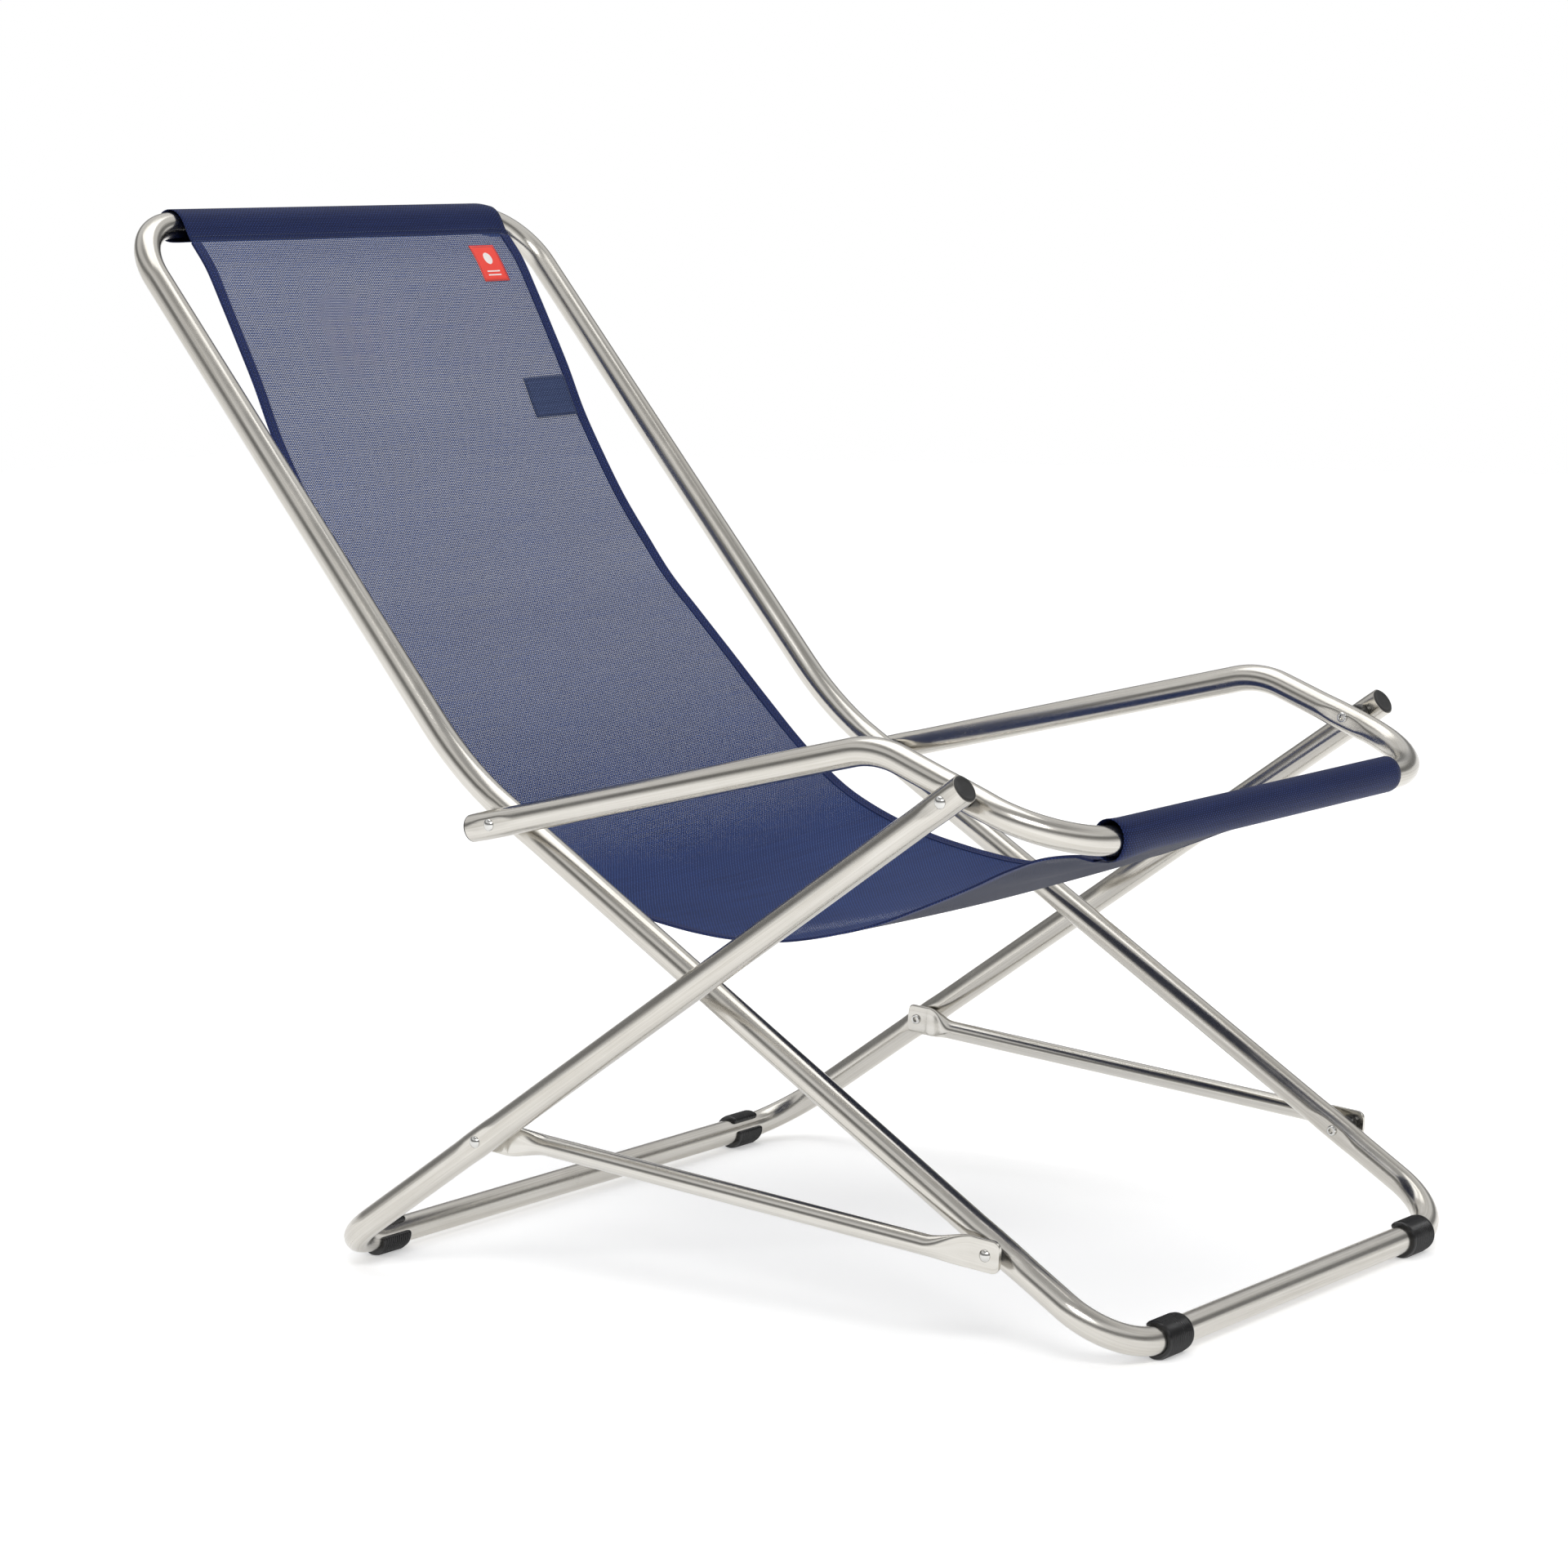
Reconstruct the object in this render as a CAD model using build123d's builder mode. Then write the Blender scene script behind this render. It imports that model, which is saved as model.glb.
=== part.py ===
from build123d import *
import math
import os

os.makedirs("parts", exist_ok=True)

# ---------------------------------------------------------------------------
# Folding rocking deck chair: aluminium tube frames and a woven mesh sling.
# Frame: +Z up, the sitter faces -Y, X across the chair, Z = 0 is the floor.
# Side profiles are given as (y, z); left is -X and right is +X as seen
# by somebody standing in front of the chair's left-hand side.
# All lengths in millimetres.
# ---------------------------------------------------------------------------

# main tube
TUBE_R = 11.0            # outer radius of the 22 mm frame tube
TUBE_WALL = 1.5
TUBE_RI = TUBE_R - TUBE_WALL
STRUT_R = 8.0            # outer radius of the 16 mm strut tube
STRUT_WALL = 1.3
CLEAR = 0.05             # radial running clearance of every pivot

# half widths of the three nested frames (to the tube centre)
W_BACK = 246.7
W_ARM = 271.8
W_LEG = 302.1

# the crossed four-bar: back link p1-p4 and leg link p3-p2 mirror each other
Y0 = 472.7               # puts the origin at the middle of the footprint box
MIRROR_Y, MIRROR_Z, MIRROR_SLOPE = 323.0 - Y0, 246.1, 0.007
REAR_HALF, FRONT_HALF = 122.2, 168.2      # pivot distances from the mirror line
REAR_Y, FRONT_Y = 546.2 - Y0, 99.8 - Y0   # stations along the mirror line


def mirror_pair(station, half):
    """Two pivots placed square to the mirror line at the given station."""
    zc = MIRROR_Z + (MIRROR_Y - station) * MIRROR_SLOPE
    k = 1.0 / math.hypot(1.0, MIRROR_SLOPE)
    up = (station + half * MIRROR_SLOPE * k, zc + half * k)
    dn = (station - half * MIRROR_SLOPE * k, zc - half * k)
    return up, dn


P1, P3 = mirror_pair(REAR_Y, REAR_HALF)      # arm/back (upper), strut/leg (lower)
P2, P4 = mirror_pair(FRONT_Y, FRONT_HALF)    # arm/leg (upper), strut/back (lower)


def along(a, b, t):
    return (a[0] + (b[0] - a[0]) * t, a[1] + (b[1] - a[1]) * t)


def at_height(a, b, z):
    """Point of the line a-b at height z."""
    return along(a, b, (z - a[1]) / (b[1] - a[1]))


def beyond(a, b, d):
    """Point d millimetres past b on the line from a to b."""
    n = math.hypot(b[0] - a[0], b[1] - a[1])
    return (b[0] + (b[0] - a[0]) / n * d, b[1] + (b[1] - a[1]) / n * d)


FLOOR_AXIS = 15.0                            # height of both floor bars' axes
BACK_FLOOR = at_height(P1, P4, FLOOR_AXIS)   # front floor bar
BACK_KINK = at_height(P4, P1, 400.6)         # where the back leans further
BACK_TOP = (949.0 - Y0, 832.0)                    # top bar
LEG_FLOOR = at_height(P2, P3, FLOOR_AXIS)    # rear floor bar
LEG_TOP = beyond(P3, P2, 17.5)               # open leg end
ARM_BEND = (183.0 - Y0, 446.3)                    # crest of the armrest
ARM_FRONT = (20.0 - Y0, 381.0)                    # front seat bar
ARM_REAR = beyond(ARM_BEND, P1, 24.0)        # open arm end

R_FLOOR = 54.0           # floor-bar corner bends
R_TOP = 55.0             # top-bar corner bends
R_KINK = 300.0           # gentle lean of the back frame
R_CREST = 75.0           # armrest crest
R_SEAT = 72.0            # front seat bar corner bends

PLUG_CAP = 1.5           # end plug flange
RIVET_R = 3.0
HEAD_R, HEAD_H = 4.6, 3.0
TAIL_R, TAIL_H = 4.2, 2.1

# sling
SLING_HALF = 200.0
SLEEVE_HALF = 190.0
CLOTH = 1.4
SLING_PTS = [(914.0, 808.5), (891.0, 765.0), (857.5, 699.5), (839.5, 659.5),
             (794.0, 583.0), (743.5, 517.0), (675.5, 448.0), (603.0, 373.5),
             (548.0, 330.0), (508.0, 311.0), (464.0, 297.0), (424.0, 288.5),
             (370.0, 282.0), (322.0, 283.0), (231.0, 302.5), (143.0, 337.0),
             (80.0, 362.5), (46.0, 366.8)]
SLING_PTS = [(y - Y0, z) for y, z in SLING_PTS]

# feet
FOOT_LEN = 33.0
FOOT_RIBS = 10
FOOT_RI = TUBE_R + CLEAR
FOOT_RB, FOOT_RO = 13.7, 14.6
FRONT_FOOT_X = W_BACK - R_FLOOR - FOOT_LEN     # inner end of the foot
REAR_FOOT_X = W_LEG - R_FLOOR - FOOT_LEN


def q(x, yz):
    return (x, yz[0], yz[1])


# ---------------------------------------------------------------------------
# Back frame: one bent loop, butted at the middle of the top bar.
# ---------------------------------------------------------------------------
JOINT_GAP = 0.3
with BuildPart() as back_frame_tube:
    with BuildLine() as back_path:
        FilletPolyline(
            q(-JOINT_GAP, BACK_TOP), q(-W_BACK, BACK_TOP), q(-W_BACK, BACK_KINK),
            q(-W_BACK, BACK_FLOOR), q(W_BACK, BACK_FLOOR), q(W_BACK, BACK_KINK),
            q(W_BACK, BACK_TOP), q(JOINT_GAP, BACK_TOP),
            radius=[R_TOP, R_KINK, R_FLOOR, R_FLOOR, R_KINK, R_TOP])
    with BuildSketch(Plane(origin=back_path.line @ 0, z_dir=back_path.line % 0)):
        Circle(TUBE_R)
        Circle(TUBE_RI, mode=Mode.SUBTRACT)
    sweep(path=back_path.line)
    for yz in (P1, P4):
        for s in (-1, 1):
            with BuildSketch(Plane(origin=(s * (W_BACK - 15), yz[0], yz[1]), x_dir=(0, 1, 0), z_dir=(s, 0, 0))):
                Circle(RIVET_R + CLEAR)
            extrude(amount=30, mode=Mode.SUBTRACT)

# plain inner sleeve that joins the two ends of the loop
with BuildPart() as back_frame_joiner:
    with BuildSketch(Plane(origin=(-45, BACK_TOP[0], BACK_TOP[1]), z_dir=(1, 0, 0))):
        Circle(TUBE_RI - CLEAR)
        Circle(TUBE_RI - 1.6, mode=Mode.SUBTRACT)
    extrude(amount=90)

# ---------------------------------------------------------------------------
# Arm frame: armrests and front seat bar in one U-shaped tube.
# ---------------------------------------------------------------------------
ARM_CUT = beyond(ARM_BEND, P1, 24.0 - PLUG_CAP)
with BuildPart() as arm_frame_tube:
    with BuildLine() as arm_path:
        FilletPolyline(
            q(-W_ARM, ARM_CUT), q(-W_ARM, ARM_BEND), q(-W_ARM, ARM_FRONT),
            q(W_ARM, ARM_FRONT), q(W_ARM, ARM_BEND), q(W_ARM, ARM_CUT),
            radius=[R_CREST, R_SEAT, R_SEAT, R_CREST])
    with BuildSketch(Plane(origin=arm_path.line @ 0, z_dir=arm_path.line % 0)):
        Circle(TUBE_R)
        Circle(TUBE_RI, mode=Mode.SUBTRACT)
    sweep(path=arm_path.line)
    for yz in (P1, P2):
        for s in (-1, 1):
            with BuildSketch(Plane(origin=(s * (W_ARM - 15), yz[0], yz[1]), x_dir=(0, 1, 0), z_dir=(s, 0, 0))):
                Circle(RIVET_R + CLEAR)
            extrude(amount=30, mode=Mode.SUBTRACT)

# ---------------------------------------------------------------------------
# Leg frame: two straight legs and the rear floor bar.
# ---------------------------------------------------------------------------
LEG_CUT = beyond(P3, P2, 17.5 - PLUG_CAP)
with BuildPart() as leg_frame_tube:
    with BuildLine() as leg_path:
        FilletPolyline(
            q(-W_LEG, LEG_CUT), q(-W_LEG, LEG_FLOOR), q(W_LEG, LEG_FLOOR), q(W_LEG, LEG_CUT),
            radius=[R_FLOOR, R_FLOOR])
    with BuildSketch(Plane(origin=leg_path.line @ 0, z_dir=leg_path.line % 0)):
        Circle(TUBE_R)
        Circle(TUBE_RI, mode=Mode.SUBTRACT)
    sweep(path=leg_path.line)
    for yz in (P2, P3):
        for s in (-1, 1):
            with BuildSketch(Plane(origin=(s * (W_LEG - 15), yz[0], yz[1]), x_dir=(0, 1, 0), z_dir=(s, 0, 0))):
                Circle(RIVET_R + CLEAR)
            extrude(amount=30, mode=Mode.SUBTRACT)

# ---------------------------------------------------------------------------
# Struts: 16 mm tube with pressed flat, offset ends.
# ---------------------------------------------------------------------------
FLAT_T, FLAT_W = 3.0, 25.0
X_STRUT = 277.3                      # tube centre
X_FLAT_REAR = W_LEG - TUBE_R - 2.0 - FLAT_T / 2       # against the leg washer
X_FLAT_FRONT = W_BACK + TUBE_R + 8.0 + FLAT_T / 2     # against the long spacer
STRUT_LEN = math.hypot(P4[0] - P3[0], P4[1] - P3[1])
SD = ((P4[0] - P3[0]) / STRUT_LEN, (P4[1] - P3[1]) / STRUT_LEN)   # along the strut


def sp(d):
    return (P3[0] + SD[0] * d, P3[1] + SD[1] * d)


for side, s in (("left", -1), ("right", 1)):
    with BuildPart() as strut:
        # round tube
        with BuildSketch(Plane(origin=q(s * X_STRUT, sp(46)), x_dir=(1, 0, 0), z_dir=(0, SD[0], SD[1]))):
            Circle(STRUT_R)
            Circle(STRUT_R - STRUT_WALL, mode=Mode.SUBTRACT)
        extrude(amount=STRUT_LEN - 92)
        # rear transition, plate and rounded tip
        with BuildSketch(Plane(origin=q(s * X_STRUT, sp(46)), x_dir=(1, 0, 0), z_dir=(0, -SD[0], -SD[1]))):
            Ellipse(STRUT_R, STRUT_R)
        with BuildSketch(Plane(origin=q(s * (X_STRUT + 5), sp(30)), x_dir=(1, 0, 0), z_dir=(0, -SD[0], -SD[1]))):
            Ellipse(4.6, 10.3)
        with BuildSketch(Plane(origin=q(s * X_FLAT_REAR, sp(15)), x_dir=(1, 0, 0), z_dir=(0, -SD[0], -SD[1]))):
            Ellipse(FLAT_T / 2, FLAT_W / 2)
        loft()
        # front transition
        with BuildSketch(Plane(origin=q(s * X_STRUT, sp(STRUT_LEN - 46)), x_dir=(1, 0, 0), z_dir=(0, SD[0], SD[1]))):
            Ellipse(STRUT_R, STRUT_R)
        with BuildSketch(Plane(origin=q(s * (X_STRUT - 5), sp(STRUT_LEN - 30)), x_dir=(1, 0, 0), z_dir=(0, SD[0], SD[1]))):
            Ellipse(4.6, 10.3)
        with BuildSketch(Plane(origin=q(s * X_FLAT_FRONT, sp(STRUT_LEN - 15)), x_dir=(1, 0, 0), z_dir=(0, SD[0], SD[1]))):
            Ellipse(FLAT_T / 2, FLAT_W / 2)
        loft()
        # flat eyes
        for xf, d0, d1 in ((X_FLAT_REAR, 16.0, -12.5), (X_FLAT_FRONT, STRUT_LEN - 16.0, STRUT_LEN + 12.5)):
            c = sp((d0 + d1) / 2)
            with BuildSketch(Plane(origin=(s * xf - FLAT_T / 2, c[0], c[1]), x_dir=(0, SD[0], SD[1]), z_dir=(1, 0, 0))):
                RectangleRounded(abs(d1 - d0), FLAT_W, 6.0)
            extrude(amount=FLAT_T)
        for xf, yz in ((X_FLAT_REAR, P3), (X_FLAT_FRONT, P4)):
            with BuildSketch(Plane(origin=(s * xf - 6, yz[0], yz[1]), x_dir=(0, 1, 0), z_dir=(1, 0, 0))):
                Circle(RIVET_R + CLEAR)
            extrude(amount=12, mode=Mode.SUBTRACT)
    strut.part.label = f"strut_{side}"
    export_step(strut.part, f"parts/strut_{side}.step")
    print(f"strut_{side}", strut.part.is_valid, round(strut.part.volume, 1), len(strut.part.solids()))

# ---------------------------------------------------------------------------
# Rivets: domed head outside, rolled hollow tail inside.
#   name: (head plane x, grip length, pivot, has head, has tail)
# ---------------------------------------------------------------------------
DOME_C = (0.25 + HEAD_R ** 2 - HEAD_H ** 2) / (1.0 - 2 * HEAD_H)    # dome centre on the rivet's axis
DOME_R = HEAD_H - DOME_C
DOME_A = math.atan2(HEAD_R, 0.5 - DOME_C) / 2
DOME_MID = (DOME_C + DOME_R * math.cos(DOME_A), DOME_R * math.sin(DOME_A))
RIVETS = {
    "arm_back_rivet": (W_ARM + TUBE_R, W_ARM - W_BACK + 2 * TUBE_R, P1, True, True),
    "strut_back_rivet": (X_FLAT_FRONT + FLAT_T / 2, X_FLAT_FRONT + FLAT_T / 2 - W_BACK + TUBE_R, P4, True, True),
    "strut_leg_rivet": (W_LEG + TUBE_R, W_LEG + TUBE_R - X_FLAT_REAR + FLAT_T / 2, P3, True, True),
    "arm_leg_rivet_head": (W_LEG + TUBE_R, 2 * TUBE_R - 0.2, P2, True, False),
    "arm_leg_rivet_tail": (W_ARM + TUBE_R, 2 * TUBE_R, P2, False, True),
}
for name, (xh, grip, yz, has_head, has_tail) in RIVETS.items():
    for side, s in (("left", -1), ("right", 1)):
        with BuildPart() as rivet:
            with BuildSketch(Plane(origin=q(s * xh, yz), x_dir=(s, 0, 0), z_dir=(0, 0, s))):
                with BuildLine():
                    if has_tail:
                        Polyline((-grip + 6, 0), (-grip + 6, 1.9), (-grip - TAIL_H, 1.9),
                                 (-grip - TAIL_H, 3.2), (-grip - 0.8, TAIL_R), (-grip, TAIL_R), (-grip, RIVET_R))
                    else:
                        Polyline((-grip, 0), (-grip, RIVET_R))
                    if has_head:
                        Polyline((-grip, RIVET_R), (0, RIVET_R), (0, HEAD_R), (0.5, HEAD_R))
                        ThreePointArc((0.5, HEAD_R), DOME_MID, (HEAD_H, 0))
                        Line((HEAD_H, 0), ((-grip + 6) if has_tail else -grip, 0))
                    else:
                        Polyline((-grip, RIVET_R), (-0.2, RIVET_R), (-0.2, 0), (-grip + 6, 0))
                make_face()
            revolve(axis=Axis(q(s * xh, yz), (1, 0, 0)))
        rivet.part.label = f"{name}_{side}"
        export_step(rivet.part, f"parts/{name}_{side}.step")
        print(f"{name}_{side}", rivet.part.is_valid, round(rivet.part.volume, 1), len(rivet.part.solids()))

# ---------------------------------------------------------------------------
# Washers and spacers between the frames: (inner x, outer x, radius, pivot)
# ---------------------------------------------------------------------------
SPACERS = {
    "arm_back_washer": (W_BACK + TUBE_R, W_ARM - TUBE_R, 8.0, P1),
    "strut_back_spacer": (W_BACK + TUBE_R, X_FLAT_FRONT - FLAT_T / 2, 8.0, P4),
    "strut_leg_washer": (X_FLAT_REAR + FLAT_T / 2, W_LEG - TUBE_R, 8.0, P3),
    "arm_leg_spacer": (W_ARM + TUBE_R + 0.2, W_LEG - TUBE_R, 8.0, P2),
}
for name, (x0, x1, r, yz) in SPACERS.items():
    for side, s in (("left", -1), ("right", 1)):
        with BuildPart() as spacer:
            with BuildSketch(Plane(origin=q(s * x0, yz), x_dir=(0, 1, 0), z_dir=(s, 0, 0))):
                Circle(r)
                Circle(RIVET_R + CLEAR, mode=Mode.SUBTRACT)
            extrude(amount=x1 - x0)
            chamfer(spacer.edges().filter_by(GeomType.CIRCLE).group_by(SortBy.LENGTH)[-1], 0.4)
        spacer.part.label = f"{name}_{side}"
        export_step(spacer.part, f"parts/{name}_{side}.step")
        print(f"{name}_{side}", spacer.part.is_valid, round(spacer.part.volume, 1), len(spacer.part.solids()))

# ---------------------------------------------------------------------------
# End plugs: flange flush with the tube, barbed stem inside.
# ---------------------------------------------------------------------------
for name, w, end, back in (("leg_plug", W_LEG, LEG_CUT, P2), ("arm_plug", W_ARM, ARM_CUT, P1)):
    n = math.hypot(end[0] - back[0], end[1] - back[1])
    d = ((end[0] - back[0]) / n, (end[1] - back[1]) / n)
    for side, s in (("left", -1), ("right", 1)):
        with BuildPart() as plug:
            with BuildSketch(Plane(origin=q(s * w, end), x_dir=(1, 0, 0), z_dir=(0, d[0], d[1]))):
                Circle(TUBE_R)
            extrude(amount=PLUG_CAP)
            fillet(plug.faces().sort_by(lambda f: f.center().Y * d[0] + f.center().Z * d[1])[-1].edges(), 1.0)
            with BuildSketch(Plane(origin=q(s * w, end), x_dir=(1, 0, 0), z_dir=(0, -d[0], -d[1]))):
                Circle(TUBE_RI - CLEAR)
            extrude(amount=8.0)
        plug.part.label = f"{name}_{side}"
        export_step(plug.part, f"parts/{name}_{side}.step")
        print(f"{name}_{side}", plug.part.is_valid, round(plug.part.volume, 1), len(plug.part.solids()))

# ---------------------------------------------------------------------------
# Feet: ribbed C-clips snapped onto the floor bars, open towards the middle.
# ---------------------------------------------------------------------------
for name, w0, yz, face in (("front_foot", FRONT_FOOT_X, BACK_FLOOR, 1), ("rear_foot", REAR_FOOT_X, LEG_FLOOR, -1)):
    for side, s in (("left", -1), ("right", 1)):
        pitch = FOOT_LEN / FOOT_RIBS
        comb = [(0.0, FOOT_RI), (0.0, FOOT_RB)]
        for i in range(FOOT_RIBS):
            a = i * pitch
            comb += [(a + 0.55, FOOT_RB), (a + 0.85, FOOT_RO), (a + pitch - 0.85, FOOT_RO), (a + pitch - 0.55, FOOT_RB)]
        comb += [(FOOT_LEN, FOOT_RB), (FOOT_LEN, FOOT_RI)]
        with BuildPart() as foot:
            with BuildSketch(Plane(origin=q(s * w0, yz), x_dir=(s, 0, 0), z_dir=(0, 0, s))):
                with BuildLine():
                    Polyline(*comb, close=True)
                make_face()
            revolve(axis=Axis(q(s * w0, yz), (1, 0, 0)))
            # tread under the clip
            with BuildSketch(Plane(origin=q(s * w0, yz), x_dir=(0, 1, 0), z_dir=(s, 0, 0))):
                with BuildLine():
                    v = 1 if s > 0 else -1          # local +Y of the sketch is up for s > 0
                    Polyline((-11.5, -v * 9.0), (-8.5, -v * FLOOR_AXIS), (8.5, -v * FLOOR_AXIS), (11.5, -v * 9.0), close=True)
                make_face()
                Circle(FOOT_RI, mode=Mode.SUBTRACT)
            extrude(amount=FOOT_LEN)
            # mouth of the clip
            with BuildSketch(Plane(origin=q(s * (w0 - 1), yz), x_dir=(0, 1, 0), z_dir=(s, 0, 0))):
                with BuildLine():
                    a0, a1 = math.radians(-14), math.radians(66)
                    Polyline((0, 0), (face * 30 * math.cos(a0), v * 30 * math.sin(a0)),
                             (face * 30, v * 14), (face * 30 * math.cos(a1) * 1.2, v * 36 * math.sin(a1)), close=True)
                make_face()
            extrude(amount=FOOT_LEN + 2, mode=Mode.SUBTRACT)
        foot.part.label = f"{name}_{side}"
        export_step(foot.part, f"parts/{name}_{side}.step")
        print(f"{name}_{side}", foot.part.is_valid, round(foot.part.volume, 1), len(foot.part.solids()), foot.part.bounding_box().min.Z)

# ---------------------------------------------------------------------------
# Sling: mesh cloth and the two teardrop sleeves it is sewn into, one round
# the top bar and one round the front seat bar.
# ---------------------------------------------------------------------------


def hull_pts(ca, ra, cb, rb, n=18):
    """Convex outline round two circles, as points in (y, z)."""
    pts = []
    dx, dz = cb[0] - ca[0], cb[1] - ca[1]
    dist = math.hypot(dx, dz)
    base = math.atan2(dz, dx)
    off = math.acos((ra - rb) / dist)
    for i in range(n + 1):
        a = base + off + (2 * math.pi - 2 * off) * i / n
        pts.append((ca[0] + ra * math.cos(a), ca[1] + ra * math.sin(a)))
    for i in range(n // 2 + 1):
        a = base - off + 2 * off * i / (n // 2)
        pts.append((cb[0] + rb * math.cos(a), cb[1] + rb * math.sin(a)))
    return pts


TOP_TAIL = (921.5 - Y0, 820.3)           # seam of the top sleeve
FRONT_TAIL = (36.0 - Y0, 368.0)          # seam of the front sleeve
LOOSE = 0.6
with BuildPart() as top_sleeve:
    with BuildSketch(Plane(origin=(-SLEEVE_HALF, 0, 0), x_dir=(0, 1, 0), z_dir=(1, 0, 0))):
        with BuildLine():
            Polyline(*hull_pts(BACK_TOP, TUBE_R + LOOSE + CLOTH, TOP_TAIL, 2.2), close=True)
        make_face()
        with BuildLine():
            Polyline(*hull_pts(BACK_TOP, TUBE_R + LOOSE, TOP_TAIL, 0.8), close=True)
        make_face(mode=Mode.SUBTRACT)
    extrude(amount=2 * SLEEVE_HALF)

with BuildPart() as front_sleeve:
    with BuildSketch(Plane(origin=(-SLEEVE_HALF, 0, 0), x_dir=(0, 1, 0), z_dir=(1, 0, 0))):
        with BuildLine():
            Polyline(*hull_pts(ARM_FRONT, TUBE_R + LOOSE + CLOTH, FRONT_TAIL, 2.2), close=True)
        make_face()
        with BuildLine():
            Polyline(*hull_pts(ARM_FRONT, TUBE_R + LOOSE, FRONT_TAIL, 0.8), close=True)
        make_face(mode=Mode.SUBTRACT)
    extrude(amount=2 * SLEEVE_HALF)


def offset_line(pts, d):
    out = []
    for i, p in enumerate(pts):
        a = pts[max(i - 1, 0)]
        b = pts[min(i + 1, len(pts) - 1)]
        n = math.hypot(b[0] - a[0], b[1] - a[1])
        out.append((p[0] - (b[1] - a[1]) / n * d, p[1] + (b[0] - a[0]) / n * d))
    return out


with BuildPart() as sling_sheet:
    with BuildSketch(Plane(origin=(-SLING_HALF, 0, 0), x_dir=(0, 1, 0), z_dir=(1, 0, 0))):
        with BuildLine():
            upper = offset_line(SLING_PTS, CLOTH / 2)
            lower = offset_line(SLING_PTS, -CLOTH / 2)
            Spline(*upper)
            Spline(*lower)
            Line(upper[0], lower[0])
            Line(upper[-1], lower[-1])
        make_face()
    extrude(amount=2 * SLING_HALF)

for name, piece in (("back_frame_tube", back_frame_tube), ("back_frame_joiner", back_frame_joiner),
                    ("arm_frame_tube", arm_frame_tube), ("leg_frame_tube", leg_frame_tube),
                    ("top_sleeve", top_sleeve), ("front_sleeve", front_sleeve),
                    ("sling_sheet", sling_sheet)):
    piece.part.label = name
    export_step(piece.part, f"parts/{name}.step")
    print(name, piece.part.is_valid, round(piece.part.volume, 1), len(piece.part.solids()))

print("P1", P1, "P2", P2, "P3", P3, "P4", P4)
print("back link", math.dist(P1, P4), "leg link", math.dist(P2, P3),
      "arm link", math.dist(P1, P2), "strut", math.dist(P3, P4))
lo = [min(getattr(p.part.bounding_box().min, a) for p in (back_frame_tube, leg_frame_tube, top_sleeve)) for a in "XYZ"]
hi = [max(getattr(p.part.bounding_box().max, a) for p in (back_frame_tube, leg_frame_tube, top_sleeve)) for a in "XYZ"]
print("tube box", lo, hi)
print("floor bars", BACK_FLOOR, LEG_FLOOR, "arm rear", ARM_REAR)
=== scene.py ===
import bpy
import math
import numpy as np
from mathutils import Matrix, Vector


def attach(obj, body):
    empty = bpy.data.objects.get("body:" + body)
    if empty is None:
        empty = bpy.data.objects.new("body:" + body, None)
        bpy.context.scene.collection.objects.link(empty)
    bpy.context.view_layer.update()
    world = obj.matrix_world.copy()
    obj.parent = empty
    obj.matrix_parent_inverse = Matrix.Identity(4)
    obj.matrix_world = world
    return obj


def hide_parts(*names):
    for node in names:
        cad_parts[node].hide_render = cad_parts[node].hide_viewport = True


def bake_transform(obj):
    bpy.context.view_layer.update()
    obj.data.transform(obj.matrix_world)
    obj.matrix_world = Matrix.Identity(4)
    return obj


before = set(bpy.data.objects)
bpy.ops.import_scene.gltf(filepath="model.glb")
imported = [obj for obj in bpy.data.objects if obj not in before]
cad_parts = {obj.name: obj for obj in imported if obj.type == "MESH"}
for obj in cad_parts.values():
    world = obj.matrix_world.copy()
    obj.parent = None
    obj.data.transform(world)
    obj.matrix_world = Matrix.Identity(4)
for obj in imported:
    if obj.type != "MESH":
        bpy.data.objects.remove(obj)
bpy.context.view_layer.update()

rng = np.random.default_rng(7)
MM = 0.001

# --------------------------------------------------------------------------
# design numbers shared with the CAD frame (millimetres, side points (y, z))
# --------------------------------------------------------------------------
Y0 = 472.7
RT, RI, RS = 11.0, 9.5, 8.0
WB, WA, WL = 246.7, 271.8, 302.1
R_FLOOR, R_TOP, R_KINK, R_CREST, R_SEAT = 54.0, 55.0, 300.0, 75.0, 72.0


def mirror_pair(st, half, my=323.0 - Y0, mz=246.1, ms=0.007):
    zc = mz + (my - st) * ms
    k = 1.0 / math.hypot(1.0, ms)
    return (st + half * ms * k, zc + half * k), (st - half * ms * k, zc - half * k)


P1, P3 = mirror_pair(546.2 - Y0, 122.2)
P2, P4 = mirror_pair(99.8 - Y0, 168.2)


def at_height(a, b, z):
    t = (z - a[1]) / (b[1] - a[1])
    return (a[0] + (b[0] - a[0]) * t, z)


def beyond(a, b, d):
    n = math.hypot(b[0] - a[0], b[1] - a[1])
    return (b[0] + (b[0] - a[0]) / n * d, b[1] + (b[1] - a[1]) / n * d)


FLOOR_AXIS = 15.0
BACK_FLOOR = at_height(P1, P4, FLOOR_AXIS)
BACK_KINK = at_height(P4, P1, 400.6)
BACK_TOP = (949.0 - Y0, 832.0)
LEG_FLOOR = at_height(P2, P3, FLOOR_AXIS)
LEG_TOP = beyond(P3, P2, 17.5)
ARM_BEND = (183.0 - Y0, 446.3)
ARM_FRONT = (20.0 - Y0, 381.0)
ARM_REAR = beyond(ARM_BEND, P1, 24.0)

# --------------------------------------------------------------------------
# small mesh kit
# --------------------------------------------------------------------------


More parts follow.
